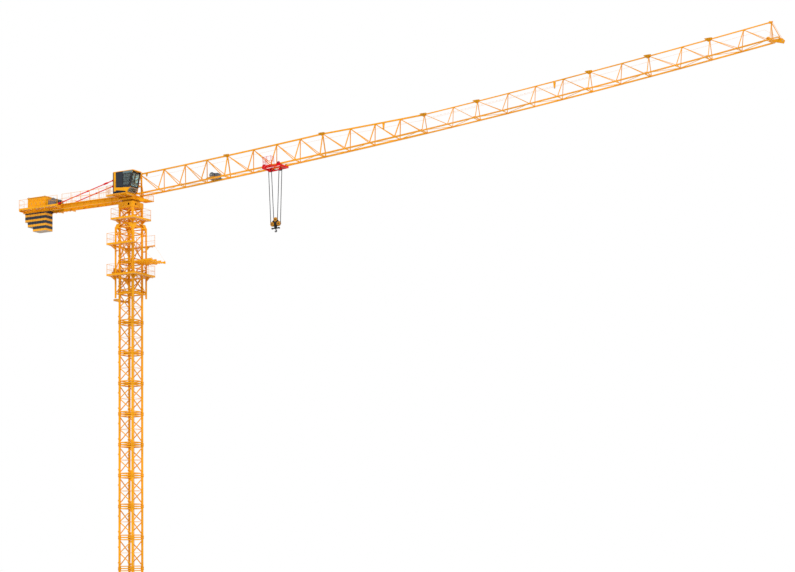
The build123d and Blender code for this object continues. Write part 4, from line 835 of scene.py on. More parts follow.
def build_cage_fittings(sizes):
    """Frames, rollers, boards, infill, pump and clamps, set out from the cage's corners and decks."""
    low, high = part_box("climbing_cage")
    top = high.z - 0.15
    levels = np.array((low.z + 0.21, 16.97, top - 0.035))
    edge = 0.523
    arch = np.array([(0.455, top - 0.165), (0.21, top + 0.115), (-0.21, top + 0.115), (-0.455, top - 0.165)])
    outer = np.array(
        [(-edge, top - 0.165), (-edge, top), (-0.425, high.z), (0.425, high.z),
         (edge, top), (edge, top - 0.165)])
    haunch = np.concatenate([outer, arch])
    shell = Shell()
    corner = points(*SIGNS.T, 0) * CAGE_AT
    shell.rods(corner + (0, 0, low.z), corner + (0, 0, top), (0.06, 0.06))
    for turn, one, two in zip(range(4), corner, np.roll(corner, -1, 0)):
        rise = levels[:, None] * Z_AXIS
        shell.rods(one + rise, two + rise, (0.036, 0.04))
        top_span = 2 if turn == 1 else 3
        for foot, head in ((one, two), (two, one)):
            shell.rods(foot + rise[:top_span - 1], head + rise[1:top_span], (0.024, 0.026))
        along = (two - one) / (2 * CAGE_AT)
        out = np.cross(along, Z_AXIS)
        shell.plates((one + two) / 2 - 0.01 * out, along, Z_AXIS, haunch, 0.02)
    shell.piece("cage_slim_frames", "climbing_frame", "cage_paint",
                stands_for=("climbing_cage", "cage_cross_frames"))

    roller = [
        (0.004, -0.009), (0.017, -0.009), (0.019, -0.006), (0.019, 0.006), (0.017, 0.009), (0.004, 0.009)]
    level = np.array([15.95, 16.85, 17.85, 18.6])
    for sx, sy in SIGNS:
        spot = points(sx * LEG_AT, sy * 0.4345, level)
        shell.turned(spot, X_AXIS, roller, 18, 1)
        shell.rods(spot - (0.016, 0, 0), spot + (0.016, 0, 0), circle(0.006, 8), 1)
        for side in (-0.014, 0.014):
            arm = spot + (side, 0, 0)
            shell.rods(arm, arm * (1, 0, 1) + (0, sy * 0.462, 0), (0.005, 0.036))
        shell.rods(
            spot * (1, 0, 1) + (-0.03, sy * 0.4595, 0),
            spot * (1, 0, 1) + (sx * (CAGE_AT - LEG_AT), sy * 0.4595, 0), (0.008, 0.06))
    shell.piece("cage_guide_rollers", "climbing_frame", "cage_paint", ["cage_paint", "wheel_steel"])

    edge = DECK_REACH - 0.004
    rail = DECK_REACH - 0.014
    wires = Shell()
    for deck, ends in ((LOWER_DECK, (1, -1)), (UPPER_DECK, (-1,))):
        for sy in (-1, 1):
            shell.rods((-edge, sy * edge, deck + 0.03), (edge, sy * edge, deck + 0.03), (0.005, 0.06))
            guard_infill(wires, (-rail, sy * rail, deck), (rail, sy * rail, deck), 0.06, 0.51, 14, sizes.wire)
        for sx in ends:
            shell.rods((sx * edge, -edge, deck + 0.03), (sx * edge, edge, deck + 0.03), (0.005, 0.06))
            guard_infill(wires, (sx * rail, -rail, deck), (sx * rail, rail, deck), 0.06, 0.51, 14, sizes.wire)
        rib = np.arange(-0.66, 0.7, 0.22)
        for sy in (-1, 1):
            shell.bars(points(rib, sy * CAGE_FACE, deck - 0.036), (0, sy * 0.25, 0), (0.012, 0.024))
        for sx in ends:
            rib_x = np.arange(-0.44, 0.45, 0.22)
            shell.bars(points(sx * CAGE_FACE, rib_x, deck - 0.036), (sx * 0.25, 0, 0), (0.012, 0.024))
    reach = SUPPORT_REACH - 0.004
    guard = SUPPORT_REACH - 0.014
    board = square_turns(points(reach, (-reach, reach), SUPPORT_DECK + 0.03))
    shell.rods(board[::2], board[1::2], (0.005, 0.06))
    line = square_turns(points(guard, (-guard, guard), SUPPORT_DECK))
    for one, two in zip(line[::2], line[1::2]):
        guard_infill(wires, one, two, 0.06, 0.49, 12, sizes.wire)
    shell.piece("cage_toe_boards", "climbing_frame", "deck_paint", ["cage_paint"])
    wires.piece("cage_rail_infill", "climbing_frame", "rail_paint")

    for sy in (-1, 1):
        top = np.array((0.782, sy * 0.74, UPPER_DECK + 0.03))
        foot = np.array((FEED_END - 0.03, sy * CAGE_AT, FEED_TOP + 0.03))
        shell.rods(top, foot, circle(0.0024, 6), 3)
        shell.rods(foot - (0, 0, 0.032), foot + (0, 0, 0.012), (0.03, 0.008))
        shell.rods(top - (0.01, 0, 0.04), top + (-0.01, 0, 0.012), (0.008, 0.03))
    slat = np.linspace(0.66, 1.5, 8)
    shell.bars(points(slat, -CAGE_AT, FEED_TOP - 0.074), (0, 2 * CAGE_AT, 0), angle_iron(0.028, 0.006))
    for y in (-0.17, 0.17):
        roller = [(0.008, -0.028), (0.026, -0.026), (0.026, 0.026), (0.008, 0.028)]
        shell.turned(points((0.75, 1.25), y, FEED_TOP + 0.026), Y_AXIS, roller, 16, 2)
    shell.bars(points((0.75, 1.25), -0.2, FEED_TOP + 0.026), (0, 0.4, 0), circle(0.009, 8), 2)
    shell.bars(points(0.72, (-0.2, 0.2), FEED_TOP + 0.06), (0.56, 0, 0), (0.02, 0.07))
    shell.piece(
        "feed_rail_fittings", "climbing_frame", "cage_paint",
        ["cage_paint", "cable_sheath", "wheel_steel", "rail_paint"])

    base = LOWER_DECK
    shell.plates(
        (PUMP_X, -0.31, base + 0.03), X_AXIS, Y_AXIS, rounded((-0.09, -0.15), (0.09, 0.15), 0.02), 0.17)
    shell.plates(
        (PUMP_X, -0.31, base + 0.2), X_AXIS, Y_AXIS, rounded((-0.095, -0.155), (0.095, 0.155), 0.02), 0.012)
    for x in (-0.745, -0.615):
        shell.box((x, -0.45, base), (x + 0.03, -0.17, base + 0.03))
    body = [(0.03, 0.0), (0.05, 0.004)]
    body += fins(np.linspace(0.0, 0.13, 9), 0.05, 0.057, (0.006, 0.007, 0.011, 0.012))
    body += [(0.05, 0.16), (0.042, 0.175), (0.02, 0.178)]
    shell.turned((PUMP_X, -0.36, base + 0.212), Z_AXIS, body, 22, 1)
    shell.box((-0.7, -0.27, base + 0.212), (-0.63, -0.19, base + 0.29), 1)
    shell.bolts(rows((-0.685, -0.645), (-0.25, -0.21), base + 0.29), Z_AXIS, 0.008, 0.01, 2)
    bend = np.linspace(0, 1, 12)[:, None]
    for shift in (0.0, 0.035):
        start = np.array((PUMP_X + shift, -0.2, base + 0.25))
        end = np.array((JACK_X, -0.06 + 0.4 * shift, base + 0.09 + shift))
        middle = np.array((-0.66 + shift, -0.1, base + 0.25))
        path = (1 - bend) ** 2 * start + 2 * bend * (1 - bend) * middle + bend ** 2 * end
        shell.pipe(path, 0.009, 8, 3, side=X_AXIS)
    shell.piece(
        "pump_unit", "climbing_frame", "jack_paint",
        ["shaded_crane_paint", "shaded_crane_paint", "zinc", "cable_sheath"], bevel=0.002)

    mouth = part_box("jack_barrel")[0]
    gland = [
        (0.04, -0.03), (0.066, -0.03), (0.07, -0.024), (0.07, 0.02), (0.064, 0.026),
        (0.064, 0.03), (0.04, 0.03)]
    shell.turned((JACK_X, 0, mouth.z + 0.03), Z_AXIS, gland, 26, 0, closed=True)
    clamp = [(0.0605, 0), (0.072, 0), (0.072, 0.03), (0.0605, 0.03)]
    shell.turned([(JACK_X, 0, 16.1), (JACK_X, 0, 16.5)], Z_AXIS, clamp, 26, 0, closed=True)
    for z, y in rows((16.115, 16.515), (-0.075, 0.075)):
        shell.rods((JACK_X, y, z), (-0.535, y, z), (0.012, 0.028))
    shell.bolts([(JACK_X, -0.085, 16.115), (JACK_X, -0.085, 16.515)], (0, -1, 0), 0.009, 0.01, 1)
    shell.piece("jack_gland_and_clamps", "climbing_frame", "jack_paint", ["jack_paint", "zinc"])

    shell.bars(points(0.33, (0.42, 0.3), 18.98), (0, 0, 0.86), (0.008, 0.022))
    step = np.arange(19.05, 19.82, sizes.rung_step)
    shell.bars(points(0.33, 0.3, step), (0, 0.12, 0), circle(0.006, 6))
    shell.piece("transition_ladder", "climbing_frame", "rail_paint")


class CRANE_OT_cage_fittings(bpy.types.Operator):
    """Slim frames, guide rollers, toe boards, infill, feed rails, pump, jack clamps and ladder of the cage"""

    bl_idname = "crane.cage_fittings"
    bl_label = "Cage fittings"

    def execute(self, context):
        build_cage_fittings(context.scene.crane_fittings)
        return {"FINISHED"}


def build_slewing_fittings(sizes):
    """Teeth as a clipped cosine of the angle round the ring, bolts, drive fins and opening covers."""
    shell = Shell()
    angle = np.arange(sizes.teeth * 8) * 2 * math.pi / (sizes.teeth * 8)
    wave = np.cos(angle * sizes.teeth)
    radius = 0.4085 + np.clip(wave * 1.6, -1, 1) * 0.0095
    outer = points(radius * np.cos(angle), radius * np.sin(angle), 0)
    inner = points(0.396 * np.cos(angle), 0.396 * np.sin(angle), 0)
    low = np.array((0, 0, RING_FOOT + 0.012))
    high = np.array((0, 0, RING_FOOT + 0.058))
    shell.stack(np.stack([outer + low, outer + high, inner + high, inner + low]), 0, closed=True)
    heads = around((0, 0, RING_FOOT + 0.0705), 0.372, 40, Y_AXIS)
    shell.turned(heads, Z_AXIS, [(0.0125, 0), (0.0125, 0.004), (0.010, 0.0062)], 6, 1)
    # The ring and its teeth take the darkened ring finish, painted shade under the turntable
    shell.piece("slewing_ring_teeth", "climbing_frame", "ring_steel", ["ring_steel", "zinc"])

    for x, y in ((0.15, 0.11), (-0.15, -0.11)):
        wall = [(0.054, 0.0)]
        wall += fins(np.linspace(0.0, 0.13, 10), 0.054, 0.064, (0.002, 0.004, 0.008, 0.010))
        wall += [(0.054, 0.15)]
        shell.turned((x, y, TABLE_TOP + 0.11), Z_AXIS, wall, 28)
        shell.turned(
            (x, y, TABLE_TOP + 0.295), Z_AXIS,
            [(0.05, 0), (0.062, 0.003), (0.062, 0.028), (0.05, 0.046), (0.02, 0.05)], 28)
        shell.box((x + 0.05, y - 0.035, TABLE_TOP + 0.15), (x + 0.095, y + 0.035, TABLE_TOP + 0.225))
        shell.bolts(around((x, y, TABLE_TOP + 0.05), 0.068, 8, Y_AXIS), Z_AXIS, 0.0075, 0.010, 1)
    shell.piece("slewing_drive_fins", "slewing_top", "machine_grey", ["machine_grey", "zinc"])

    arch = np.concatenate([[(0.075, -0.075), (0.075, 0.0)], circle(0.085, 24)[2:11], [(-0.075, -0.075)]])
    for face, right, closed in ((-Y_AXIS, X_AXIS, -OPENING_X), (X_AXIS, Y_AXIS, OPENING_X),
                                (Y_AXIS, -X_AXIS, -OPENING_X), (-X_AXIS, -Y_AXIS, OPENING_X)):
        place = face * SUPPORT_FACE + (0, 0, RING_FOOT - 0.13)
        shell.plates(place + right * closed, right, Z_AXIS, arch, 0.005)
        shell.border(place - right * closed, right, Z_AXIS, arch, 0.028, 0.012, 0.005)
        marks = rows((-0.06, 0.06), 0.0, (-0.05, 0.03))
        heads = place + right * closed + marks[:, :1] * right + marks[:, 2:] * Z_AXIS + face * 0.005
        shell.bolts(heads, face, 0.007, 0.006)
    shell.piece("support_opening_covers", "climbing_frame", "mast_paint")


class CRANE_OT_slewing_fittings(bpy.types.Operator):
    """Toothed ring, ring bolts, slewing drive fins and the covers of the support's openings"""

    bl_idname = "crane.slewing_fittings"
    bl_label = "Slewing fittings"

    def execute(self, context):
        build_slewing_fittings(context.scene.crane_fittings)
        return {"FINISHED"}


SIDE_WINDOW = np.array([(0.262, 0.33), (0.61, 0.33), (0.716, 0.86), (0.262, 0.86)])
FRONT_FOOT = np.array((0.655, 0.0, CAB_FLOOR + 0.21))
FRONT_RISE = np.array((0.16, 0.0, 0.735)) / math.hypot(0.16, 0.735)
TOE_FOOT = np.array((0.46, 0.0, CAB_FLOOR))
TOE_RISE = np.array((0.195, 0.0, 0.21)) / math.hypot(0.195, 0.21)


def build_cab(sizes):
    """Panels, seals, guard, roof, lamps, seat and rails, set out from the cab's floor and two sides.
    The seat's height and depth follow a logistic bend along it, its wings the cube of its width."""
    floor = CAB_FLOOR
    shell = Shell()
    strip = [(-0.296, 0.0), (-0.248, 0.0), (-0.248, 0.96), (-0.304, 0.96)]
    wedge = [(-0.248, 0.0), (0.45, 0.0), (0.38, 0.065), (-0.248, 0.165)]
    for y, out in ((CAB_NEAR, 0.005), (CAB_FAR, -0.005)):
        shell.upright((0, y, floor), strip, out)
        shell.upright((0, y, floor), wedge, out)
    rear = rounded((-0.3, 0.0), (0.3, 0.96), 0.03)
    shell.plates((-0.290, (CAB_NEAR + CAB_FAR) / 2, floor), -Y_AXIS, np.array((-0.0105, 0, 1.0)), rear, 0.006)
    for z in (0.3, 0.36, 0.42, 0.48):
        shell.plates(
            (-0.2965 - 0.0105 * z, -0.65, floor + z), -Y_AXIS, Z_AXIS,
            rounded((-0.2, 0), (0.2, 0.022), 0.01), 0.006)
    shell.piece("cab_rear_panels", "slewing_top", "cab_paint", ["navy_paint"], bevel=0.0012)

    panel = [(-0.125, 0.275), (0.262, 0.24), (0.262, 0.975), (-0.14, 0.975)]
    header = [(0.262, 0.855), (0.79, 0.855), (0.815, 0.945), (0.825, 0.975), (0.262, 0.975)]
    sill = [(0.262, 0.25), (0.655, 0.21), (0.682, 0.335), (0.262, 0.335)]
    jamb = [(-0.248, 0.10), (-0.125, 0.10), (-0.14, 0.975), (-0.255, 0.975)]
    for y, out in ((CAB_NEAR, 0.006), (CAB_FAR, -0.006)):
        for outline, tone in ((panel, 1), (header, 4), (sill, 0), (jamb, 3)):
            shell.upright((0, y, floor), outline, out, tone)
        lift = y - out
        shell.upright((0, lift, floor), rounded((-0.105, 0.295), (0.245, 0.935), 0.02), out * 0.5)
        for x in (-0.115, 0.253):
            for z in (0.31, 0.6, 0.9):
                shell.bolts((x, lift, floor + z), (0, -np.sign(out), 0), 0.006, 0.004, 2)
    shell.piece(
        "cab_side_panels", "slewing_top", "cab_paint",
        ["panel_grey", "navy_paint", "rubber", "cab_paint", "pane_grey"], bevel=0.001)

    for y, out in ((CAB_NEAR, 0.010), (CAB_FAR, -0.010)):
        shell.border((0, y, floor), X_AXIS, Z_AXIS, SIDE_WINDOW, 0.01, 0.016, out)
        for z in (0.5, 0.68):
            shell.upright(
                (0, y, floor + z), [(0.262, 0), (0.662, 0), (0.664, 0.012), (0.262, 0.012)], out * 0.6)
        post = np.array([(0.61, 0.33), (0.681, 0.33), (0.797, 0.86), (0.716, 0.86)])
        shell.upright((0, y, floor), post, out * 0.7)
    middle = (CAB_NEAR + CAB_FAR) / 2
    face = np.array((0, middle, 0))
    tall = rounded((-0.2625, 0.066), (0.2625, 0.686), 0.02)
    shell.border(FRONT_FOOT + face, Y_AXIS, FRONT_RISE, tall, 0.014, 0.040, 0.012)
    shell.plates(FRONT_FOOT + face, Y_AXIS, FRONT_RISE, rectangle(0.525, 0.018) + (0, 0.25), 0.010)
    shell.plates(FRONT_FOOT + face, Y_AXIS, FRONT_RISE, rectangle(0.018, 0.40) + (-0.02, 0.47), 0.010)
    shell.piece("cab_window_seals", "slewing_top", "cab_paint", ["rubber"], bevel=0.0015)

    low = rounded((-0.2625, 0.082), (0.2625, 0.28), 0.015)
    shell.border(TOE_FOOT + face, Y_AXIS, TOE_RISE, low, 0.010, 0.022, 0.012)
    guard = np.linspace(-0.22, 0.22, 7)
    out = np.cross(Y_AXIS, TOE_RISE)
    foot = TOE_FOOT + face + guard[:, None] * Y_AXIS + 0.07 * TOE_RISE + 0.02 * out
    shell.rods(foot, foot + 0.225 * TOE_RISE, circle(0.005, 6))
    for along in (0.09, 0.27):
        end = TOE_FOOT + face + along * TOE_RISE + 0.02 * out
        shell.rods(end - 0.235 * Y_AXIS, end + 0.235 * Y_AXIS, circle(0.006, 6))
    shell.piece("cab_foot_guard", "slewing_top", "cab_paint", ["zinc"])

    cap = rounded((-0.312, -0.3125), (0.852, 0.3125), 0.03, 6)
    place = np.array((0, middle, floor + 0.975))
    rings = [offset(cap, -0.004), cap, cap, offset(cap, -0.012), offset(cap, -0.05)]
    height = [0.0, 0.005, 0.026, 0.034, 0.038]
    shell.stack(np.stack([points(*ring.T, up) for ring, up in zip(rings, height)]) + place)
    fascia = offset(cap, -0.008)
    shell.stack(np.stack([points(*fascia.T, up) for up in (-0.034, 0.004)]) + place, 1)
    for x in (-0.05, 0.2, 0.45):
        shell.plates(
            (x, middle, floor + 1.009), X_AXIS, Y_AXIS, rounded((-0.035, -0.24), (0.035, 0.24), 0.02), 0.008)
    shell.bars(
        points(np.linspace(0.84, 0.93, 4), CAB_NEAR - 0.005, np.linspace(floor + 0.985, floor + 0.93, 4)),
        (0, 0.615, 0), (0.026, 0.012))
    for y in (CAB_NEAR + 0.004, middle - 0.1, middle + 0.1, CAB_FAR - 0.004):
        shell.rods((0.82, y, floor + 0.99), (0.935, y, floor + 0.925), (0.014, 0.02))
    shell.piece("cab_roof", "slewing_top", "cab_paint", ["cab_paint", "rubber"], bevel=0.0015)

    hinge = FRONT_FOOT + face + 0.08 * FRONT_RISE
    out = np.cross(Y_AXIS, FRONT_RISE)
    for side, swing in ((-0.16, 0.10), (0.12, 0.10)):
        pivot = hinge + side * Y_AXIS + 0.014 * out
        tip = pivot + 0.30 * FRONT_RISE + swing * Y_AXIS
        shell.turned(pivot - 0.006 * out, out, [(0.014, 0), (0.014, 0.014), (0.008, 0.018)], 14)
        shell.rods(pivot + 0.006 * out, tip, (0.008, 0.005))
        blade = np.array([tip - 0.13 * FRONT_RISE, tip + 0.13 * FRONT_RISE])
        shell.rods(blade[0], blade[1], (0.006, 0.012))
    for y in (CAB_NEAR + 0.08, CAB_FAR - 0.08):
        shell.turned(
            (0.84, y, floor + 0.905), (0.9, 0, -0.3),
            [(0.012, -0.03), (0.026, -0.014), (0.034, 0.012), (0.034, 0.02), (0.03, 0.024)], 18)
        shell.rods((0.83, y, floor + 0.905), (0.83, y, floor + 0.94), (0.012, 0.02))
    grab = np.linspace(0, math.pi, 9)
    handle = points(-0.165, CAB_NEAR - 0.002 - 0.011 * np.sin(grab), floor + 0.42 - 0.15 * np.cos(grab))
    shell.pipe(handle, 0.006, 8, side=X_AXIS)
    shell.rods(
        (-0.06, CAB_NEAR - 0.004, floor + 0.50), (-0.06, CAB_NEAR - 0.017, floor + 0.50), circle(0.010, 10))
    shell.rods(
        (-0.075, CAB_NEAR - 0.014, floor + 0.50), (0.03, CAB_NEAR - 0.014, floor + 0.50), (0.008, 0.02))
    mirror = np.array((0.735, CAB_NEAR - 0.004, floor + 0.62))
    shell.bars(mirror, (0.05, -0.008, 0.03), circle(0.005, 6))
    shell.plates(
        mirror + (0.05, -0.008, -0.04), Y_AXIS * 0.999, Z_AXIS,
        rounded((-0.004, -0.05), (0.05, 0.09), 0.015), 0.014)
    shell.piece("cab_wipers_and_lamps", "slewing_top", "cab_paint", ["rubber"])

    v = np.linspace(0, 1, 25)[:, None]
    u = np.linspace(-1, 1, 17)[None, :]
    bend = 1 / (1 + np.exp(-(v - 0.47) * 26))
    along = 0.36 - 0.27 * np.minimum(v / 0.47, 1.0) - 0.06 * bend * (v - 0.47) / 0.53
    high = 0.26 + 0.02 * np.cos(v * 5) + bend * (v - 0.47) / 0.53 * 0.42
    wing = np.abs(u) ** 3
    width = 0.125 - 0.03 * bend * v
    seat = points(along + 0.045 * wing * bend, middle + u * width, floor + high + 0.05 * wing * (1 - bend))
    back = seat + points(-0.02 * bend, 0, -0.022 * (1 - bend))
    shell.stack(np.concatenate([seat, back[:, ::-1]], 1))
    shell.turned(
        (0.2, middle, floor + 0.02), Z_AXIS,
        [(0.11, 0), (0.11, 0.012), (0.05, 0.03), (0.045, 0.19), (0.09, 0.225)], 20)
    for y in (middle - 0.17, middle + 0.17):
        shell.upright(
            (0.25, y - 0.03, floor + 0.02),
            [(-0.1, 0), (0.1, 0), (0.13, 0.33), (0.1, 0.37), (-0.12, 0.35)], -0.06, 1)
        shell.turned(
            (0.32, y, floor + 0.36), Z_AXIS,
            [(0.03, 0), (0.022, 0.02), (0.007, 0.03), (0.007, 0.10), (0.017, 0.115),
             (0.019, 0.14), (0.01, 0.155)], 14, 1)
    shell.plates(
        (0.44, middle, floor + 0.02), Y_AXIS, Z_AXIS, rounded((-0.25, 0), (0.25, 0.10), 0.02), 0.05, 1)
    shell.box((-0.262, CAB_NEAR + 0.025, floor + 0.021), (0.43, CAB_FAR - 0.025, floor + 0.03), 1)
    shell.box((-0.266, CAB_NEAR + 0.03, floor + 0.03), (-0.25, CAB_FAR - 0.03, floor + 0.90), 1)
    shell.box((-0.25, CAB_FAR - 0.14, floor + 0.03), (-0.13, CAB_FAR - 0.03, floor + 0.62), 2)
    screen = np.array((0.56, middle + 0.2, floor + 0.34))
    shell.plates(
        screen, Y_AXIS, np.array((-0.25, 0, 0.97)), rounded((-0.07, 0), (0.07, 0.11), 0.012), -0.014, 1)
    shell.rods(screen - (0, 0, 0.3), screen, circle(0.008, 8), 1)
    shell.piece(
        "cab_seat_and_consoles", "slewing_top", "cab_paint",
        ["seat_shell", "rubber", "machine_grey"], smooth=40)

    post = np.array([(-0.41, -0.69), (-0.65, -0.69), (-0.89, -0.69), (-0.89, -0.45)])
    foot = points(*post.T, floor)
    shell.bars(foot, (0, 0, 0.475), circle(0.0075, 6))
    for up in (0.47, 0.25):
        shell.rods(foot[:-1] + (0, 0, up), foot[1:] + (0, 0, up), circle(0.0058, 6))
    shell.rods(foot[:-1] + (0, 0, 0.03), foot[1:] + (0, 0, 0.03), (0.005, 0.06))
    for one, two in zip(foot[:-1], foot[1:]):
        guard_infill(shell, one, two, 0.06, 0.46, 4, sizes.wire)
    under = np.array([-0.30, -0.12, 0.16, 0.30, 0.40])
    shell.bars(points(under, CAB_NEAR, floor - 0.045), (0, 0.52, 0), angle_iron(0.04, 0.008))
    shell.bars(points(-0.41, (-0.93, -0.72, -0.5), floor - 0.04), (0.92, 0, 0), angle_iron(0.036, 0.008))
    shell.piece("cab_platform_rails", "slewing_top", "rail_paint")


class CRANE_OT_cab(bpy.types.Operator):
    """Panels, window seals, roof, wipers and lamps of the cab, and the moulded seat and consoles inside"""

    bl_idname = "crane.cab"
    bl_label = "Cab trim and inside"

    def execute(self, context):
        build_cab(context.scene.crane_fittings)
        return {"FINISHED"}


def build_head_fittings(sizes):
    """Pins, gussets, sheave and infill, set out from the jib's root and the turntable."""
    shell = Shell()
    root = float(chord_z(0.48))
    root_pin = headed_pin(0.02, 0.013, 0.12, 0.014, 0.004, 0.003)
    for y in (-JIB_SIDE, JIB_SIDE):
        shell.turned((0.45, y - 0.06, root), Y_AXIS, root_pin, 16, 1)
    shell.turned((0.45, -0.06, float(top_z(0.48))), Y_AXIS, root_pin, 16, 1)
    for y in (-TIE_Y, TIE_Y):
        shell.turned((-0.40, y - 0.06, TIE_HEAD_Z), Y_AXIS, root_pin, 16, 1)
    gusset = [(0.0, 0.0), (0.16, 0.0), (0.0, 0.16)]
    for x, way in ((0.37, -1), (-0.32, 1)):
        for y in (-0.306, 0.300):
            shell.plates((x, y, TABLE_TOP), (way, 0, 0), Z_AXIS, gusset, 0.006)
    groove = [
        (0.02, -0.018), (0.11, -0.018), (0.112, -0.012), (0.096, -0.007), (0.096, 0.007), (0.112, 0.012),
        (0.11, 0.018), (0.02, 0.018)]
    shell.turned(HEAD_SHEAVE, Y_AXIS, groove, 32, 2, closed=True)
    middle = HEAD_SHEAVE * (1, 0, 1)
    shell.rods(middle - (0, 0.245, 0), middle + (0, 0.245, 0), circle(0.02, 12), 1)
    for y in (-0.262, 0.254):
        shell.upright(middle + (0, y, 0), [(-0.06, -0.1), (0.06, -0.1), (0.05, 0.06), (-0.05, 0.06)], -0.008)
    shell.bars(points(-0.35, (-0.258, 0.258), 21.02), (0.75, 0, 0), (0.02, 0.03))
    for place in rows((0.4, -0.35), (-0.275, 0.275), TABLE_TOP):
        shell.box(place - (0.062, 0.062, 0), place + (0.062, 0.062, 0.012))
        shell.bolts(place + rows((-0.045, 0.045), (-0.045, 0.045), 0.012), Z_AXIS, 0.011, 0.014, 1)
    shell.piece(
        "head_pins_and_sheave", "slewing_top", "support_paint", ["support_paint", "zinc", "wheel_steel"])

    for y in (-0.21, 0.21):
        guard_infill(shell, (0.7, y, BALCONY_FLOOR), (1.13, y, BALCONY_FLOOR), 0.02, 0.255, 6, sizes.wire)
    guard_infill(shell, (1.13, -0.21, BALCONY_FLOOR), (1.13, 0.21, BALCONY_FLOOR), 0.02, 0.255, 6, sizes.wire)
    bars = np.linspace(0.70, 1.12, 7)
    shell.bars(points(bars, -0.2, 20.056), (0, 0.4, 0), (0.012, 0.018))
    shell.piece("balcony_infill", "slewing_top", "rail_paint")


class CRANE_OT_head_fittings(bpy.types.Operator):
    """Pins, gussets and rope sheave of the tower head, and the balcony's mesh"""

    bl_idname = "crane.head_fittings"
    bl_label = "Tower head fittings"

    def execute(self, context):
        build_head_fittings(context.scene.crane_fittings)
        return {"FINISHED"}


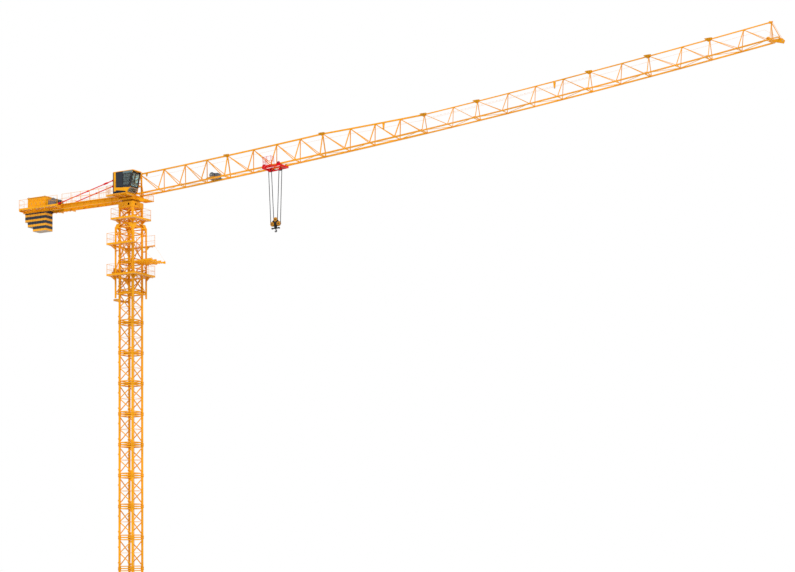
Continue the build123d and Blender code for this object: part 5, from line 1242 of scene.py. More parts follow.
def build_counter_jib(sizes):
    """Winch, cabinet, rails, bars, tie ends and eyes, set out from the beams' top. The rope's layers on the
    drum are the size of a sine along it."""
    x, z = DRUM[0], DRUM[2]
    shell = Shell()
    lay = np.linspace(-0.226, 0.226, 226)
    coil = 0.139 + 0.0065 * np.abs(np.sin(lay * math.pi / 0.0105))
    coil = np.where(np.abs(lay) < 0.012, 0.131, coil)
    shell.turned(DRUM, Y_AXIS, np.column_stack([coil, lay]), 36)
    shell.piece("drum_rope_layers", "slewing_top", "machine_grey", ["hook_black"], smooth=60)

    for side in (-1, 1):
        shell.bolts(around((x, side * 0.249, z), 0.155, 10), (0, side, 0), 0.009, 0.01, 1)
        hub = [(0.05, 0.0), (0.055, 0.004), (0.055, 0.03), (0.075, 0.034), (0.075, 0.05), (0.04, 0.056)]
        shell.turned((x, side * 0.249, z), (0, side, 0), hub, 24)
    wall = [(0.074, -0.165)]
    wall += fins(np.linspace(-0.15, 0.15, 16), 0.074, 0.088, (-0.006, -0.004, 0.004, 0.006))
    wall += [(0.074, 0.165)]
    shell.turned((HOIST_MOTOR_X, 0.06, BEAM_TOP + 0.1), Y_AXIS, wall, 30)
    shell.turned(
        (HOIST_MOTOR_X, 0.225, BEAM_TOP + 0.1), Y_AXIS,
        [(0.07, 0), (0.084, 0.004), (0.084, 0.04), (0.06, 0.056), (0.02, 0.06)], 30)
    shell.box((-4.655, 0.0, BEAM_TOP + 0.17), (-4.545, 0.12, BEAM_TOP + 0.235))
    shell.upright((-4.56, -0.20, BEAM_TOP + 0.05), rounded((-0.12, -0.026), (0.3, 0.29), 0.06, 6), -0.11)
    shell.turned(
        (HOIST_MOTOR_X, -0.2, BEAM_TOP + 0.1), (0, -1, 0),
        [(0.085, -0.11), (0.09, 0.002), (0.09, 0.03), (0.05, 0.036)], 28)
    heads = rows((-4.66, -4.5, -4.36, -4.28), -0.2, (BEAM_TOP + 0.06, BEAM_TOP + 0.31))
    shell.bolts(heads, (0, -1, 0), 0.009, 0.01, 1)
    shell.box((-4.24, -0.30, BEAM_TOP + 0.024), (-4.13, 0.30, BEAM_TOP + 0.06))
    brake = [(0.03, -0.03), (0.1, -0.03), (0.1, 0.03), (0.03, 0.03)]
    shell.turned((x, 0.335, z), Y_AXIS, brake, 30, 2, closed=True)
    for way in (-1, 1):
        shell.plates(
            (x + way * 0.112, 0.315, z), (way, 0, 0), Z_AXIS,
            [(-0.006, -0.1), (0.02, -0.1), (0.02, 0.12), (-0.006, 0.12)], 0.04 * -way)
    shell.piece(
        "hoist_winch_fittings", "slewing_top", "machine_grey",
        ["machine_grey", "zinc", "wheel_steel"], bevel=0.002)

    low = BEAM_TOP
    for y, out in ((-0.33, 0.006), (0.33, -0.006)):
        for door in range(4):
            x0 = -5.795 + door * 0.255
            shell.upright((x0, y, low), rounded((0.008, 0.03), (0.247, 0.47), 0.012), out)
            for row in range(5):
                shell.upright(
                    (x0, y - out, low + 0.33 + 0.024 * row),
                    rounded((0.05, 0), (0.205, 0.012), 0.005, 3), out)
            shell.upright((x0, y - out, low), rounded((0.215, 0.20), (0.232, 0.27), 0.006, 3), out * 1.6, 1)
            for up in (0.10, 0.42):
                shell.turned(
                    (x0 + 0.012, y - out * 1.4, low + up - 0.02), Z_AXIS,
                    pin(0.006, 0.04, 0.001, 0.003), 8, 1)
        shell.upright((-5.28, y, low), rectangle(1.052, 0.018) + (0, 0.012), out * 1.2, 2)
        shell.upright((-5.28, y, low), rectangle(1.052, 0.03) + (0, 0.484), out * 1.2, 2)
    for x, out in ((-5.815, -0.006), (-4.76, 0.006)):
        shell.plates((x, 0, low), Y_AXIS, Z_AXIS, rounded((-0.31, 0.03), (-0.01, 0.47), 0.012), out)
        shell.plates((x, 0, low), Y_AXIS, Z_AXIS, rounded((0.01, 0.03), (0.31, 0.47), 0.012), out)
        for row in range(6):
            shell.plates(
                (x + out, -0.16, low + 0.30 + 0.024 * row), Y_AXIS, Z_AXIS,
                rounded((-0.09, 0), (0.09, 0.012), 0.005, 3), out)
    for x in (-5.6, -5.3, -5.0):
        shell.plates((x, 0, low + 0.525), X_AXIS, Y_AXIS, rounded((-0.07, -0.3), (0.07, 0.3), 0.02), 0.012)
    for x, y in ((-5.78, -0.30), (-5.78, 0.30), (-4.80, -0.30), (-4.80, 0.30)):
        shell.pipe(around((x, y, low + 0.547), 0.022, 14), 0.006, 7, 1, closed=True)
    shell.piece(
        "cabinet_doors", "slewing_top", "cabinet_paint", ["cabinet_paint", "zinc", "navy_paint"], bevel=0.001)

    rail = 0.686
    for side in (-1, 1):
        guard_infill(
            shell, (-6.02, side * rail, REAR_DECK), (-3.75, side * rail, REAR_DECK),
            0.06, 0.465, 18, sizes.wire)
        shell.rods(
            (-6.036, side * 0.696, REAR_DECK + 0.03), (-3.739, side * 0.696, REAR_DECK + 0.03), (0.005, 0.06))
    ends = points(-6.028, (-rail, -0.34, 0.34, rail), REAR_DECK)
    for up in (0.47, 0.24):
        shell.rods(ends[::2] + (0, 0, up), ends[1::2] + (0, 0, up), circle(0.0055, 6))
    shell.bars(ends[1:3], (0, 0, 0.475), circle(0.007, 6))
    guard_infill(
        shell, (-3.69, -0.403, BEAM_TOP + 0.01), (-0.995, -0.403, BEAM_TOP + 0.01),
        0.05, 0.47, 24, sizes.wire)
    post = np.arange(-3.69, -0.9, 0.54)
    foot = points(post, 0.33, BEAM_TOP)
    shell.bars(foot, (0, 0, 0.47), circle(0.0065, 6))
    for up in (0.47, 0.25):
        shell.rods(foot[0] + (0, 0, up), foot[-1] + (0, 0, up), circle(0.0052, 6))
    guard_infill(shell, foot[0], foot[-1], 0.04, 0.46, 24, sizes.wire)
    shell.piece("counter_jib_rail_infill", "slewing_top", "rail_paint")

    beam = np.arange(-5.95, -3.78, 0.21)
    for side in (-1, 1):
        shell.bars(points(beam, side * 0.335, REAR_DECK - 0.04), (0, side * 0.36, 0), angle_iron(0.03, 0.006))
    for y in (-0.40, -0.06):
        shell.rods((-3.75, y, BEAM_TOP - 0.012), (-0.46, y, BEAM_TOP - 0.012), angle_iron(0.024, 0.005))
    slat = np.arange(-3.7, -0.5, 0.135)
    start = points(slat, 0.06, BEAM_TOP - 0.024)
    shell.bars(start[::2], (0, 0.21, 0), (0.03, 0.012))
    stiff = np.arange(-4.5, -0.6, 0.405)
    for side in (-1, 1):
        for way in (-1, 1):
            shell.bars(
                points(stiff, side * BEAM_Y + way * 0.021, BEAM_TOP - 0.184), (0, 0, 0.168), (0.008, 0.024))
    shell.rods((-4.6, -0.25, BEAM_TOP - 0.11), (-0.45, -0.25, BEAM_TOP - 0.11), (0.05, 0.03), 1)
    shell.piece("counter_jib_deck_bars", "slewing_top", "support_paint", ["support_paint", "zinc"])

    head = np.array((-0.42, 0, TIE_HEAD_Z))
    foot = np.array((-4.0, 0, 20.455))
    run = (foot - head) / np.linalg.norm(foot - head)
    for y in (-TIE_Y, TIE_Y):
        side = np.array((0, y, 0))
        body = [(0.018, 0.68), (0.034, 0.695), (0.042, 0.73), (0.042, 0.89), (0.034, 0.925), (0.018, 0.94)]
        shell.turned(head + side, run, body, 16)
        for at in (0.06, 1.9, 3.3):
            shell.turned(head + side + run * at, run, pin(0.028, 0.081, 0.008, 0.006), 14)
        fork = [(-0.05, -0.03), (0.09, -0.026), (0.09, 0.026), (-0.05, 0.03)]
        up = np.cross(run, Y_AXIS)
        for out in (-0.028, 0.022):
            shell.plates(foot + side - run * 0.09 + (0, out, 0), run, up, fork, 0.006)
        shell.turned(foot + side - run * 0.02 - (0, 0.045, 0), Y_AXIS, pin(0.016, 0.09, 0.004, 0.003), 14, 1)
    shell.piece("tie_bar_fittings", "slewing_top", "tie_red", ["tie_red", "zinc"])

    pitch = (6.025 - 4.78) / 8
    middle = -6.025 + pitch * (np.arange(8) + 0.5) - 0.005
    turn = np.linspace(0, math.pi, 11)
    for side in (-0.14, 0.14):
        for at in middle:
            eye = points(at, side + 0.032 * np.cos(turn), 20.322 + 0.04 * np.sin(turn))
            shell.pipe(eye, 0.009, 8, side=X_AXIS)
    for way in (-1, 1):
        bar = points(middle, way * 0.268, 20.214)
        shell.rods(bar - (0, 0, 0.008), bar + (0, 0, 0.05), (0.05, 0.02), 1)
    shell.piece("ballast_lifting_eyes", "slewing_top", "ballast_paint", ["zinc", "navy_paint"])


class CRANE_OT_counter_jib(bpy.types.Operator):
    """Hoist winch, cabinet doors, guard infill, deck bars, tie ends and lifting eyes of the counter-jib"""

    bl_idname = "crane.counter_jib"
    bl_label = "Counter-jib fittings"

    def execute(self, context):
        build_counter_jib(context.scene.crane_fittings)
        return {"FINISHED"}


def jib_stations(number):
    """X of the bottom and top nodes of one jib section."""
    low = JIB_JOINTS[number] + 0.045
    high = JIB_JOINTS[number + 1] - 0.045
    bottom = np.linspace(low, high, JIB_PANELS[number] + 1)
    upper = np.concatenate([[low], bottom[1:-1] + 0.165, [high]])
    return bottom, upper


def along_jib(first, last, steps, y, above, from_top=False):
    """Points at even x along the jib, at a height above the bottom chord's arc or above the top chord."""
    x = np.linspace(first, last, steps)
    z = (top_z(x) if from_top else chord_z(x)) + above
    return points(x, y, z)


def jib_lattice(number):
    """One jib section with slim tubes: box tubes swept through the nodes of the top chord and of the
    two bottom chords with their running ledges, and straight bars from each top node to the bottom nodes."""
    bottom, upper = jib_stations(number)
    heavy = number < HEAVY_SECTIONS
    crown, post, web = (0.060, 0.040, 0.031) if heavy else (0.042, 0.026, 0.021)
    inner, lift = (0.027, 0.027) if heavy else (0.015, 0.012)
    x = np.concatenate([JIB_JOINTS[number:number + 1], bottom[1:-1], JIB_JOINTS[number + 1:number + 2]])
    shell = Shell()

    def tube(middle, low, high):
        across = np.array((low[0], high[0], high[0], low[0]))
        up = np.array((low[1], low[1], high[1], high[1]))
        shell.stack(points(x[:, None], across, middle[:, None] + up))

    tube(top_z(x), (-crown / 2, -crown / 2), (crown / 2, crown / 2))
    ends = JIB_JOINTS[number:number + 2] + (0.0, -0.06)
    shell.bars(points(ends, 0, top_z(ends + 0.03)), (0.06, 0, 0), (0.084, 0.084))
    high = points(upper, 0, top_z(upper))
    for side in (-1, 1):
        tube(chord_z(x), *np.sort([(side * (JIB_SIDE - inner), -0.035), (side * 0.285, lift)], 0))
        tube(chord_z(x), *np.sort([(side * 0.28, -0.031), (side * 0.321, -0.015)], 0))
        low = points(bottom, side * JIB_SIDE, chord_z(bottom))
        shell.rods(high[:-1], low[:-1], (post, post))
        shell.rods(high[:-1], low[1:], (web, web))
    left = points(bottom, -JIB_SIDE, chord_z(bottom))
    right = left * (1, -1, 1)
    shell.rods(left, right, (0.028, 0.028))
    even = (np.arange(len(left) - 1) % 2 == 0)[:, None]
    shell.rods(np.where(even, left[:-1], right[:-1]), np.where(even, right[1:], left[1:]), (0.017, 0.017))
    shell.piece(f"jib_lattice_{number + 1}", "slewing_top", "jib_paint",
                stands_for=(f"jib_section_{number + 1}",))


def build_jib_fittings():
    """Lattice, pins, plates, hangers, winch, tip and ropes, set out along the two chords' curves."""
    for number in range(len(JIB_PANELS)):
        jib_lattice(number)
    joints = JIB_JOINTS[1:-1]
    shell = Shell()
    low = chord_z(joints)
    high = top_z(joints)
    long = headed_pin(0.019, 0.013, 0.124, 0.016, 0.005, 0.003)
    centre = points(joints, -0.062, high)
    shell.turned(centre, Y_AXIS, long, 14, 1)
    side = points(joints, 0.0, low)
    short = [
        (0.012, 0), (0.017, 0.003), (0.017, 0.014), (0.012, 0.014), (0.012, 0.086), (0.017, 0.086),
        (0.017, 0.097), (0.013, 0.1)]
    for y in (-JIB_SIDE, JIB_SIDE):
        shell.turned(side + (0, y, -0.05), Z_AXIS, short, 14, 1)
    collar = rectangle(0.112, 0.112)
    for at in (-0.047, 0.033):
        shell.bars(points(joints + at, 0, high + 0.035 * at), (0.014, 0, 0), collar)
        for y in (-JIB_SIDE, JIB_SIDE):
            here = points(joints + at, y, low)
            shell.rods(here + (0, 0, 0.024), here + (0.014, 0, 0.024), (0.074, 0.048))
    wedge = [(-0.165, 0.05), (-0.05, -0.06), (0.05, -0.06), (0.165, 0.05), (0.13, 0.066), (-0.13, 0.066)]
    lean = points(joints, -0.052, high)
    for y in (0.0, 0.108):
        shell.upright(lean + (0, y, 0), wedge, 0.004, 2)
    # Pins and wedges take the darker copy of the crane paint, painted shade
    shell.piece(
        "jib_joint_pins", "slewing_top", "jib_paint",
        ["jib_paint", "shaded_crane_paint", "shaded_crane_paint"], bevel=0.0012)

    plate = [(-0.07, 0.0), (-0.025, -0.035), (0.025, -0.035), (0.07, 0.0)]
    for number in range(len(JIB_PANELS)):
        inner = jib_stations(number)[1][1:-1]
        half = 0.035 if number < HEAVY_SECTIONS else 0.028
        for y in (half, -half - 0.005):
            spots = points(inner, y, top_z(inner) - half + 0.02)
            shell.upright(spots, plate, -0.005)
    shell.piece("jib_node_plates", "slewing_top", "jib_paint")

    for x, drop in ((13.3, 0.25), (21.2, 0.25), (0.9, 0.12)):
        head = np.array((x, 0, float(top_z(x)) - 0.03))
        for y in (-0.022, 0.016):
            shell.upright(head + (0, y, 0), [(-0.05, 0), (0.05, 0), (0.022, -drop), (-0.022, -drop)], -0.006)
        groove = [(0.01, -0.01), (0.034, -0.01), (0.027, -0.003), (0.027, 0.003), (0.034, 0.01), (0.01, 0.01)]
        shell.turned(head - (0, 0, drop - 0.02), Y_AXIS, groove, 20, 1, closed=True)
        shell.turned(head - (0, 0.024, drop - 0.02), Y_AXIS, pin(0.012, 0.048, 0.002, 0.002), 10, 1)
    x = np.arange(1.6, 29.9, 1.24)
    hold = points(x, 0.04, top_z(x) + 0.012)
    shell.rods(hold - (0, 0.03, 0), hold + (0, 0.016, 0), (0.018, 0.012), 1)
    shell.pipe(along_jib(0.62, 30.1, 60, 0.052, 0.012, True), 0.008, 8, 2)
    shell.piece("jib_hangers_and_cable", "slewing_top", "jib_paint", ["jib_paint", "zinc", "cable_sheath"])

    x, low = WINCH_X, float(chord_z(WINCH_X)) + 0.035
    lay = np.linspace(-0.092, 0.092, 104)
    coil = 0.106 + 0.005 * np.abs(np.sin(lay * math.pi / 0.0095))
    shell.turned((x, 0, low + 0.16), Y_AXIS, np.column_stack([coil, lay]), 32, 2)
    for side in (-1, 1):
        shell.bolts(around((x, side * 0.107, low + 0.16), 0.112, 8), (0, side, 0), 0.007, 0.008, 1)
        cap = [(0.035, 0), (0.04, 0.003), (0.04, 0.02), (0.02, 0.026)]
        shell.turned((x, side * 0.138, low + 0.16), (0, side, 0), cap, 20, 1)
    wall = [(0.068, -0.075)]
    wall += fins(np.linspace(-0.066, 0.066, 9), 0.068, 0.079, (-0.004, -0.003, 0.003, 0.004))
    wall += [(0.068, 0.075), (0.05, 0.1), (0.015, 0.104)]
    shell.turned((WINCH_MOTOR_X, 0.155, low + 0.13), Y_AXIS, wall, 28)
    shell.turned(
        (WINCH_MOTOR_X, 0.08, low + 0.13), Y_AXIS,
        [(0.075, -0.01), (0.082, -0.004), (0.082, 0.006), (0.07, 0.01)], 28)
    shell.box((4.74, 0.12, low + 0.19), (4.84, 0.19, low + 0.225))
    for y in (-0.084, 0.080):
        shell.upright((WINCH_MOTOR_X, y, low), rounded((-0.055, 0.03), (0.055, 0.215), 0.012), -0.004)
    shell.bars(points(4.40, (-0.27, 0.27), low + 0.014), (0.46, 0, 0.016), angle_iron(0.03, 0.006), 3)
    shell.piece(
        "trolley_winch_fittings", "slewing_top", "machine_grey",
        ["machine_grey", "zinc", "rope_steel", "jib_paint"])

    tip = JIB_JOINTS[-1]
    tip_low, tip_high = float(chord_z(tip)), float(top_z(tip))
    knob = [(0.03, 0), (0.042, 0.004), (0.042, 0.016), (0.03, 0.024), (0.012, 0.028)]
    shell.turned((tip + 0.03, 0, tip_high + 0.001), Z_AXIS, knob, 20)
    shell.turned((tip + 0.03, -0.05, tip_high - 0.005), Y_AXIS, pin(0.036, 0.1, 0.006, 0.004), 20)
    shell.turned(
        (tip + 0.075, 0, tip_high + 0.01), Z_AXIS,
        [(0.012, 0), (0.016, 0.003), (0.016, 0.018), (0.010, 0.026), (0.003, 0.028)], 14, 1)
    links = np.linspace(0.03, 0.97, 12)[:, None]
    upper = np.array((tip + 0.07, 0, tip_high - 0.01))
    lower = np.array((tip + 0.42, 0, tip_low + 0.03))
    chain = upper * (1 - links) + lower * links
    shell.bars(chain, (0.022, 0, -0.04), (0.012, 0.012))
    for y in (-JIB_SIDE, JIB_SIDE):
        shell.rods((tip + 0.02, y, tip_low + 0.025), (tip + 0.02, 0.0, tip_high - 0.02), (0.018, 0.018))
        shell.rods((tip, y, tip_low), (tip + 0.36, y, tip_low + 0.03), (0.036, 0.036))
        shell.turned(
            (tip - 0.10, y, tip_low + 0.06), (-1, 0, 0),
            [(0.016, -0.04), (0.02, -0.02), (0.022, 0.0), (0.018, 0.018), (0.01, 0.022)], 16)
        shell.upright(
            (tip - 0.075, y - 0.04, tip_low + 0.035),
            [(-0.02, 0), (0.07, 0), (0.07, 0.055), (0, 0.055)], -0.08)
    spots = rows((tip + 0.1, tip + 0.22, tip + 0.34), 0.0, tip_low - 0.005)
    shell.rods((tip + 0.34, -0.262, tip_low + 0.03), (tip + 0.34, 0.262, tip_low + 0.03), (0.036, 0.03))
    for side in (-1, 1):
        shell.bolts(spots + (0, side * 0.044, 0), (0, side, 0), 0.010, 0.011, 3)
    shell.turned((tip + 0.44, -0.06, tip_low - 0.08), Y_AXIS, pin(0.02, 0.12, 0.004, 0.003), 14, 3)
    shell.piece("jib_tip_fittings", "slewing_top", "jib_paint", ["jib_paint", "lamp_lens", "rubber", "zinc"])

    drop = along_jib(0.9, 29.9, 80, 0.0, -0.225, True)
    shell.pipe(drop, RUN_ROPE, 6)
    over = HEAD_SHEAVE + (0, 0, 0.1)
    shell.rods(over, drop[0], circle(RUN_ROPE, 6))
    shell.rods((DRUM[0], over[1], DRUM[2] + 0.144), over, circle(RUN_ROPE, 6))
    shell.rods(drop[-1], (tip + 0.44, 0.0, tip_low - 0.012), circle(RUN_ROPE, 6))
    for y in (-0.035, 0.035):
        shell.pipe(along_jib(4.62, tip + 0.36, 90, y, 0.1), 0.0022, 6)
    shell.piece("jib_hoist_rope", "slewing_top", "jib_paint")

    link = np.arange(15.5, 23.0, 0.16)
    shell.bars(points(link, 0.03, top_z(link) - 0.17), (0.11, 0, 0.014), (0.006, 0.006))
    shell.piece("jib_guide_bars", "slewing_top", "jib_paint")


class CRANE_OT_jib_fittings(bpy.types.Operator):
    """Slim lattice, joint pins, node plates, hangers, ropes, trolley winch and tip fittings of the jib"""

    bl_idname = "crane.jib_fittings"
    bl_label = "Jib fittings"

    def execute(self, context):
        build_jib_fittings()
        return {"FINISHED"}


def on_rail(along, up, y):
    """Point at the trolley: metres along the chord and square to it from the trolley's middle."""
    along = np.asarray(along, float)
    up = np.asarray(up, float)
    x = TROLLEY_X + along * math.cos(TROLLEY_SLOPE) - up * math.sin(TROLLEY_SLOPE)
    z = TROLLEY_Z + along * math.sin(TROLLEY_SLOPE) + up * math.cos(TROLLEY_SLOPE)
    return points(x, y, z)


def build_trolley_fittings(sizes):
    """Hubs, frame, basket and guards, set out along the chord at the trolley."""
    shell = Shell()
    for side in (-1, 1):
        for along in (-WHEEL_REACH, WHEEL_REACH):
            spot = on_rail(along, 0.0308, side * 0.343)
            hub = [(0.03, 0), (0.038, 0.003), (0.038, 0.012), (0.024, 0.016), (0.012, 0.018)]
            shell.turned(spot, (0, side, 0), hub, 20)
            shell.bolts(around(spot + (0, side * 0.011, 0), 0.03, 6), (0, side, 0), 0.004, 0.005)
            roller = [
                (0.006, -0.014), (0.014, -0.014), (0.016, -0.01), (0.016, 0.01),
                (0.014, 0.014), (0.006, 0.014)]
            shell.turned(on_rail(along * 0.56, -0.054, side * 0.303), Y_AXIS, roller, 18, closed=True)
            shell.rods(
                on_rail(along * 0.56, -0.054, side * 0.28),
                on_rail(along * 0.56, -0.054, side * 0.334), circle(0.007, 8))
    shell.piece("trolley_hubs", "trolley", "wheel_steel")

    ahead = np.array((math.cos(TROLLEY_SLOPE), 0.0, math.sin(TROLLEY_SLOPE)))
    above = np.array((-math.sin(TROLLEY_SLOPE), 0.0, math.cos(TROLLEY_SLOPE)))
    middle = np.array((TROLLEY_X, 0.0, TROLLEY_Z))
    half = np.array([(0.25, -0.051), (0.31, 0.08), (0.43, 0.08), (0.475, -0.01), (0.475, -0.111)])
    side = np.concatenate([half, half[::-1] * (-1, 1)])
    for y in (-0.327, 0.343):
        shell.plates(middle + (0, y, 0), ahead, above, side, 0.016)
    for at in (-0.435, 0.435):
        shell.plates(middle + (0, 0.335, 0), ahead, above, rectangle(0.07, 0.07) + (at, -0.076), 0.67)
    hang = np.array(
        [(-0.33, -0.211), (0.33, -0.211), (0.435, -0.107), (0.435, -0.045),
         (-0.435, -0.045), (-0.435, -0.107)])
    for y in (-0.035, 0.049):
        shell.border(middle + (0, y, 0), ahead, above, hang, 0.024, 0.0, 0.014)
        web = on_rail((-0.28, 0.28, -0.07, 0.07), (-0.19, -0.19, -0.06, -0.06), y - 0.007)
        shell.rods(web[:2], web[2:], (0.014, 0.022))
        for way in (-1, 1):
            boss = (TROLLEY_X + way * FALL_REACH, y - 0.014, FALL_TOP)
            shell.turned(boss, Y_AXIS, [(0.01, 0), (0.045, 0), (0.045, 0.014), (0.01, 0.014)], 20)
    for way in (-1, 1):
        shell.turned(
            (TROLLEY_X + way * FALL_REACH, -0.049, FALL_TOP), Y_AXIS, pin(0.012, 0.098, 0.001, 0.001), 16)
    edge = on_rail((-0.26, 0.18, 0.18, -0.26), -0.098, (-0.343, -0.343, -0.603, -0.603))
    shell.rods(edge, np.roll(edge, -1, 0), (0.018, 0.018))
    for at, y in ((-0.25, -0.593), (-0.04, -0.593), (0.17, -0.593), (-0.25, -0.353), (0.17, -0.353)):
        shell.rods(on_rail(at, -0.101, y), on_rail(at, 0.33, y), (0.014, 0.014))
    for up in (0.322, 0.12):
        loop = on_rail((-0.25, -0.25, 0.17, 0.17), up, (-0.353, -0.593, -0.593, -0.353))
        shell.rods(loop[:-1], loop[1:], (0.011, 0.011))
    shell.piece("trolley_open_frame", "trolley", "trolley_red", bevel=0.001, stands_for=("trolley_frame",))

    near = -0.593
    post = np.linspace(-0.25, 0.17, 8)
    shell.rods(on_rail(post, -0.098, near), on_rail(post, 0.32, near), circle(sizes.wire, 5))
    for along in (-0.25, 0.17):
        cross = np.linspace(-0.56, -0.37, 5)
        shell.rods(on_rail(along, -0.098, cross), on_rail(along, 0.32, cross), circle(sizes.wire, 5))
    shell.rods(on_rail(-0.25, 0.02, near), on_rail(0.17, 0.02, near), circle(sizes.wire * 1.4, 5))
    bars = np.linspace(-0.24, 0.16, 11)
    shell.rods(on_rail(bars, -0.1, -0.35), on_rail(bars, -0.1, -0.6), (0.006, 0.012))
    shell.rods(on_rail(-0.26, -0.08, near - 0.007), on_rail(0.18, -0.08, near - 0.007), (0.005, 0.05))
    shell.piece("trolley_basket_mesh", "trolley", "rail_paint", ["trolley_red"])

    for way in (-1, 1):
        x = TROLLEY_X + way * FALL_REACH
        hub = [(0.02, -0.028), (0.026, -0.026), (0.026, 0.026), (0.02, 0.028)]
        shell.turned((x, 0, FALL_TOP), Y_AXIS, hub, 18, 1)
        for side in (-1, 1):
            cheek = [(-0.03, -0.05), (0.03, -0.05), (0.05, 0.0), (0.03, 0.06), (-0.03, 0.06), (-0.05, 0.0)]
            shell.upright((x, side * 0.049, FALL_TOP), cheek, -0.006 * side)
            heads = rows((-0.02, 0.02), side * 0.055, (-0.035, 0.045)) + (x, 0, FALL_TOP)
            shell.bolts(heads, (0, side, 0), 0.006, 0.006, 1)
        for along in (-0.098, 0.098):
            shell.rods(
                (x + along, -0.048, FALL_TOP - 0.02),
                (x + along, 0.048, FALL_TOP - 0.02), circle(0.006, 8), 1)
    gusset = [(0, 0), (0.09, 0), (0, -0.06)]
    for side in (-1, 1):
        for way in (-1, 1):
            shell.plates(on_rail(way * 0.3, -0.049, side * 0.322), (way, 0, 0), Z_AXIS, gusset, 0.005)
    shell.piece("trolley_sheave_guards", "trolley", "trolley_red", ["trolley_red", "zinc"])


class CRANE_OT_trolley_fittings(bpy.types.Operator):
    """Open frame, wheel hubs, rollers, basket mesh and sheave guards of the trolley"""

    bl_idname = "crane.trolley_fittings"
    bl_label = "Trolley fittings"

    def execute(self, context):
        build_trolley_fittings(context.scene.crane_fittings)
        return {"FINISHED"}


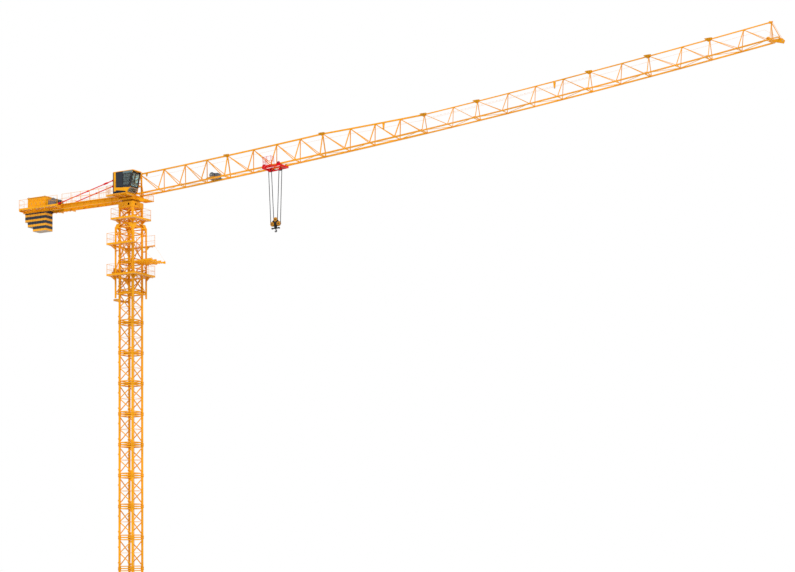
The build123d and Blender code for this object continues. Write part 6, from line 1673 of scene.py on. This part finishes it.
def build_hook_block(sizes):
    """Ropes as straight falls and circle arcs, caps, and a hook as thick as a sine round its bowl."""
    x = TROLLEY_X
    edge = BLOCK_REACH + BLOCK_TURN
    shell = Shell()
    for side in (-1, 1):
        for high, low in ((FALL_REACH + FALL_TURN, edge), (FALL_REACH - FALL_TURN, BLOCK_TURN)):
            shell.pipe(
                np.array([(x + side * high, 0, FALL_TOP), (x + side * low, 0, HIGH_SHEAVE)]), sizes.rope, 8)
    falls = shell.piece("hoist_rope_taut", None, "rope_steel", stands_for=("hoist_rope_falls",))
    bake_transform(falls)

    over = np.linspace(math.pi, 0, 15)
    under = np.linspace(math.pi, 2 * math.pi, 17)
    for side in (-1, 1):
        arc = points(x + side * FALL_REACH + FALL_TURN * np.cos(over), 0, FALL_TOP + FALL_TURN * np.sin(over))
        shell.pipe(arc, sizes.rope, 8)
    shell.piece("trolley_rope_turns", "trolley", "rope_steel")

    ring = points(x + BLOCK_TURN * np.cos(under), 0, HIGH_SHEAVE + BLOCK_TURN * np.sin(under))
    shell.pipe(ring, sizes.rope, 8)
    corner = np.linspace(math.pi, 1.5 * math.pi, 9)
    left = points(x - BLOCK_REACH + BLOCK_TURN * np.cos(corner), 0, LOW_SHEAVE + BLOCK_TURN * np.sin(corner))
    left = np.concatenate([[(x - edge, 0, HIGH_SHEAVE)], left])
    path = np.concatenate([left, (2 * x, 0, 0) + left[::-1] * (-1, 1, 1)])
    shell.pipe(path, sizes.rope, 8)
    shell.piece("hook_rope_turns", "hook_block", "rope_steel")

    for at_x, at_z in ((-BLOCK_REACH, LOW_SHEAVE), (BLOCK_REACH, LOW_SHEAVE), (0, HIGH_SHEAVE)):
        for side in (-1, 1):
            cover = [(0.086, 0), (0.09, 0.002), (0.09, 0.005), (0.082, 0.008), (0.04, 0.010), (0.02, 0.011)]
            shell.turned((x + at_x, side * 0.036, at_z), (0, side, 0), cover, 32, 1)
            shell.turned(
                (x + at_x, side * 0.046, at_z), (0, side, 0),
                [(0.03, 0), (0.033, 0.002), (0.03, 0.006), (0.012, 0.008)], 20)
            shell.bolts(around((x + at_x, side * 0.0445, at_z), 0.06, 6), (0, side, 0), 0.007, 0.006)
    for at_x, at_z in (
            (-0.255, LOW_SHEAVE), (0.255, LOW_SHEAVE), (-0.08, HIGH_SHEAVE + 0.04),
            (0.08, HIGH_SHEAVE + 0.04), (0, LOW_SHEAVE + 0.06)):
        for side in (-1, 1):
            shell.turned(
                (x + at_x, side * 0.02, at_z), (0, side, 0),
                [(0.006, -0.02), (0.012, 0.0), (0.012, 0.014), (0.006, 0.018)], 12, 2)
    rib = [(-0.055, 0), (0.055, 0), (0.02, 0.075), (-0.02, 0.075)]
    for side in (-1, 1):
        shell.upright((x, side * 0.036, SWIVEL + 0.05), rib, -0.008 * side)
        for way in (-1, 1):
            lug = np.array([(0.125, -0.05), (0.185, -0.064), (0.185, -0.006), (0.125, -0.018)]) * (way, 1)
            shell.upright((x, side * 0.05, SWIVEL), lug, -0.006 * side)
            shell.bolts((x + way * 0.165, side * 0.056, SWIVEL - 0.035), (0, side, 0), 0.012, 0.012, 2)
    shell.piece("hook_block_caps", "hook_block", "block_black", ["block_black", "sheave_paint", "zinc"])

    bowl, thick = 0.046, 0.021
    middle = SWIVEL - 0.215 + bowl + thick
    share = np.linspace(0, 1, 46)
    turn = share * math.radians(258)
    swell = 0.72 + 0.42 * np.sin(np.clip(share * 1.15, 0, 1) * math.pi)
    fat = thick * swell * np.clip((1.0 - share) / 0.16, 0.45, 1) ** 0.5
    reach = bowl + 0.006 * np.clip(share - 0.86, 0, 1) / 0.14
    place = points(x + reach * np.sin(turn), 0, middle + reach * np.cos(turn))
    inward = points(np.sin(turn), 0, np.cos(turn))
    ring = circle(1.0, 18)
    spread = ring[:, 0] * (1 + 0.18 * np.abs(ring[:, 0]))
    section = spread[:, None] * inward[:, None] + 0.85 * ring[:, 1, None] * Y_AXIS
    shell.stack(place[:, None] + fat[:, None, None] * section)
    neck = middle + bowl
    shank = [
        (0.0125, neck - 0.012), (0.0135, neck + 0.004), (0.011, neck + 0.018), (0.010, neck + 0.03),
        (0.010, SWIVEL + 0.0003), (0.0255, SWIVEL + 0.0003), (0.026, SWIVEL + 0.002), (0.026, SWIVEL + 0.022),
        (0.023, SWIVEL + 0.0243)]
    shell.turned((x, 0, 0), Z_AXIS, shank, 24)
    nut = [
        (0.0, SWIVEL + 0.0243), (0.012, SWIVEL + 0.0243), (0.012, SWIVEL + 0.034),
        (0.009, SWIVEL + 0.036), (0.0, SWIVEL + 0.036)]
    shell.turned((x, 0, 0), Z_AXIS, nut, 6, 1)
    tip = place[-3]
    hinge = np.array((x - 0.004, 0, neck - 0.016))
    blade = np.array([hinge, hinge + (tip - hinge) * 0.55 + (0.006, 0, 0.0), tip + (0.004, 0, 0.004)])
    for y in (-0.0095, 0.0075):
        shell.rods(blade[:-1] + (0, y, 0), blade[1:] + (0, y, 0), (0.0024, 0.010), 1)
    shell.turned(hinge - (0, 0.013, 0), Y_AXIS, pin(0.006, 0.026, 0.002, 0.002), 12, 1)
    shell.piece(
        "forged_hook", "hook", "hook_black", ["hook_black", "cable_sheath"], smooth=50, stands_for=("hook",))


class CRANE_OT_hook_block(bpy.types.Operator):
    """Rope falls, sheave rope, yoke fittings and the forged hook with its latch"""

    bl_idname = "crane.hook_block"
    bl_label = "Hook block, ropes and hook"

    def execute(self, context):
        build_hook_block(context.scene.crane_fittings)
        return {"FINISHED"}


class CRANE_OT_stage(bpy.types.Operator):
    """Camera matched to the photo, even white light, one soft sun and a pale floor"""

    bl_idname = "crane.stage"
    bl_label = "Camera, light and floor"

    def execute(self, context):
        studio = context.scene.crane_studio
        yaw, pitch, roll = CAMERA_TURNS
        forward = np.array(
            (-math.sin(yaw) * math.cos(pitch), math.cos(yaw) * math.cos(pitch), math.sin(pitch)))
        right = np.array((math.cos(yaw), math.sin(yaw), 0.0))
        up = np.cross(right, forward)
        across = right * math.cos(roll) + up * math.sin(roll)
        above = up * math.cos(roll) - right * math.sin(roll)
        lens = bpy.data.cameras.new("photo_lens")
        lens.lens = studio.lens
        lens.shift_y = studio.rise
        lens.clip_end = 2000.0
        eye = bpy.data.objects.new("photo_camera", lens)
        lines = [(*axis, place) for axis, place in zip(zip(across, above, -forward), CAMERA_AT)]
        eye.matrix_world = Matrix(lines + [(0.0, 0.0, 0.0, 1.0)])
        context.scene.collection.objects.link(eye)
        context.scene.camera = eye

        world = bpy.data.worlds.new("studio_white")
        world.use_nodes = True
        nodes, links = world.node_tree.nodes, world.node_tree.links
        nodes.clear()
        path = nodes.new("ShaderNodeLightPath")
        seen = path.outputs["Is Camera Ray"]
        for name in ("Is Glossy Ray", "Is Transmission Ray"):
            join = nodes.new("ShaderNodeMath")
            join.operation = "MAXIMUM"
            links.new(seen, join.inputs[0])
            links.new(path.outputs[name], join.inputs[1])
            seen = join.outputs[0]
        level = nodes.new("ShaderNodeMapRange")
        level.inputs["To Min"].default_value = studio.sky
        level.inputs["To Max"].default_value = 1.0
        links.new(seen, level.inputs["Value"])
        glow = nodes.new("ShaderNodeBackground")
        glow.inputs["Color"].default_value = (1.0, 1.0, 1.0, 1.0)
        links.new(level.outputs[0], glow.inputs["Strength"])
        output = nodes.new("ShaderNodeOutputWorld")
        links.new(glow.outputs[0], output.inputs["Surface"])
        context.scene.world = world

        sun = bpy.data.lights.new("soft_sun", "SUN")
        sun.energy = studio.key
        sun.angle = math.radians(20)
        sun_place = bpy.data.objects.new("soft_sun", sun)
        sun_place.rotation_euler = Vector((0.45, -0.45, 0.77)).to_track_quat("Z", "Y").to_euler()
        context.scene.collection.objects.link(sun_place)

        rim = around((0, 0, 0), 1.0, 96, Y_AXIS)
        spread = np.array([0.001, 0.02, 0.1, 0.4, 1.0])[:, None, None]
        number = np.arange(5 * 96).reshape(5, 96)
        quads = np.stack(
            [number[:-1], np.roll(number[:-1], -1, 1), np.roll(number[1:], -1, 1), number[1:]], -1)
        mesh = bpy.data.meshes.new("pale_floor")
        mesh.from_pydata((rim * spread * studio.floor - (0, 0, 0.002)).reshape(-1, 3).tolist(), [],
                         quads.reshape(-1, 4).tolist() + number[:1, ::-1].tolist())
        tree = Tree("floor_grey")
        tone = tree.mix(tree.noise(0.4, 2.0), from_screen(214, 214, 212), from_screen(224, 224, 222))
        mesh.materials.append(tree.surface(Base_Color=tone, Roughness=tree.noise(3.0) * 0.1 + 0.6))
        ground = bpy.data.objects.new("pale_floor", mesh)
        context.scene.collection.objects.link(ground)
        context.scene.view_settings.view_transform = "Standard"
        return {"FINISHED"}


class CRANE_PT_dressing(bpy.types.Panel):
    """Sidebar panel listing the crane's operators"""

    bl_idname = "CRANE_PT_dressing"
    bl_label = "Tower crane"
    bl_space_type = "VIEW_3D"
    bl_region_type = "UI"
    bl_category = "Crane"

    def draw(self, context):
        layout = self.layout
        for one in OPERATORS:
            layout.operator(one.bl_idname)


OPERATORS = (CRANE_OT_finishes, CRANE_OT_mast_fittings, CRANE_OT_base_fittings, CRANE_OT_cage_fittings,
             CRANE_OT_slewing_fittings, CRANE_OT_cab, CRANE_OT_head_fittings, CRANE_OT_counter_jib,
             CRANE_OT_jib_fittings, CRANE_OT_trolley_fittings, CRANE_OT_hook_block, CRANE_OT_stage)
GROUPS = (
    ("crane_paint", PaintSettings), ("crane_fittings", FittingSettings), ("crane_studio", StudioSettings))


def register():
    for name, group in GROUPS:
        bpy.utils.register_class(group)
        setattr(bpy.types.Scene, name, PointerProperty(type=group))
    for one in OPERATORS:
        bpy.utils.register_class(one)
    bpy.utils.register_class(CRANE_PT_dressing)


def unregister():
    bpy.utils.unregister_class(CRANE_PT_dressing)
    for one in reversed(OPERATORS):
        bpy.utils.unregister_class(one)
    for name, group in reversed(GROUPS):
        delattr(bpy.types.Scene, name)
        bpy.utils.unregister_class(group)


def main():
    register()
    for one in OPERATORS:
        group, name = one.bl_idname.split(".")
        getattr(getattr(bpy.ops, group), name)()


if __name__ == "__main__":
    main()
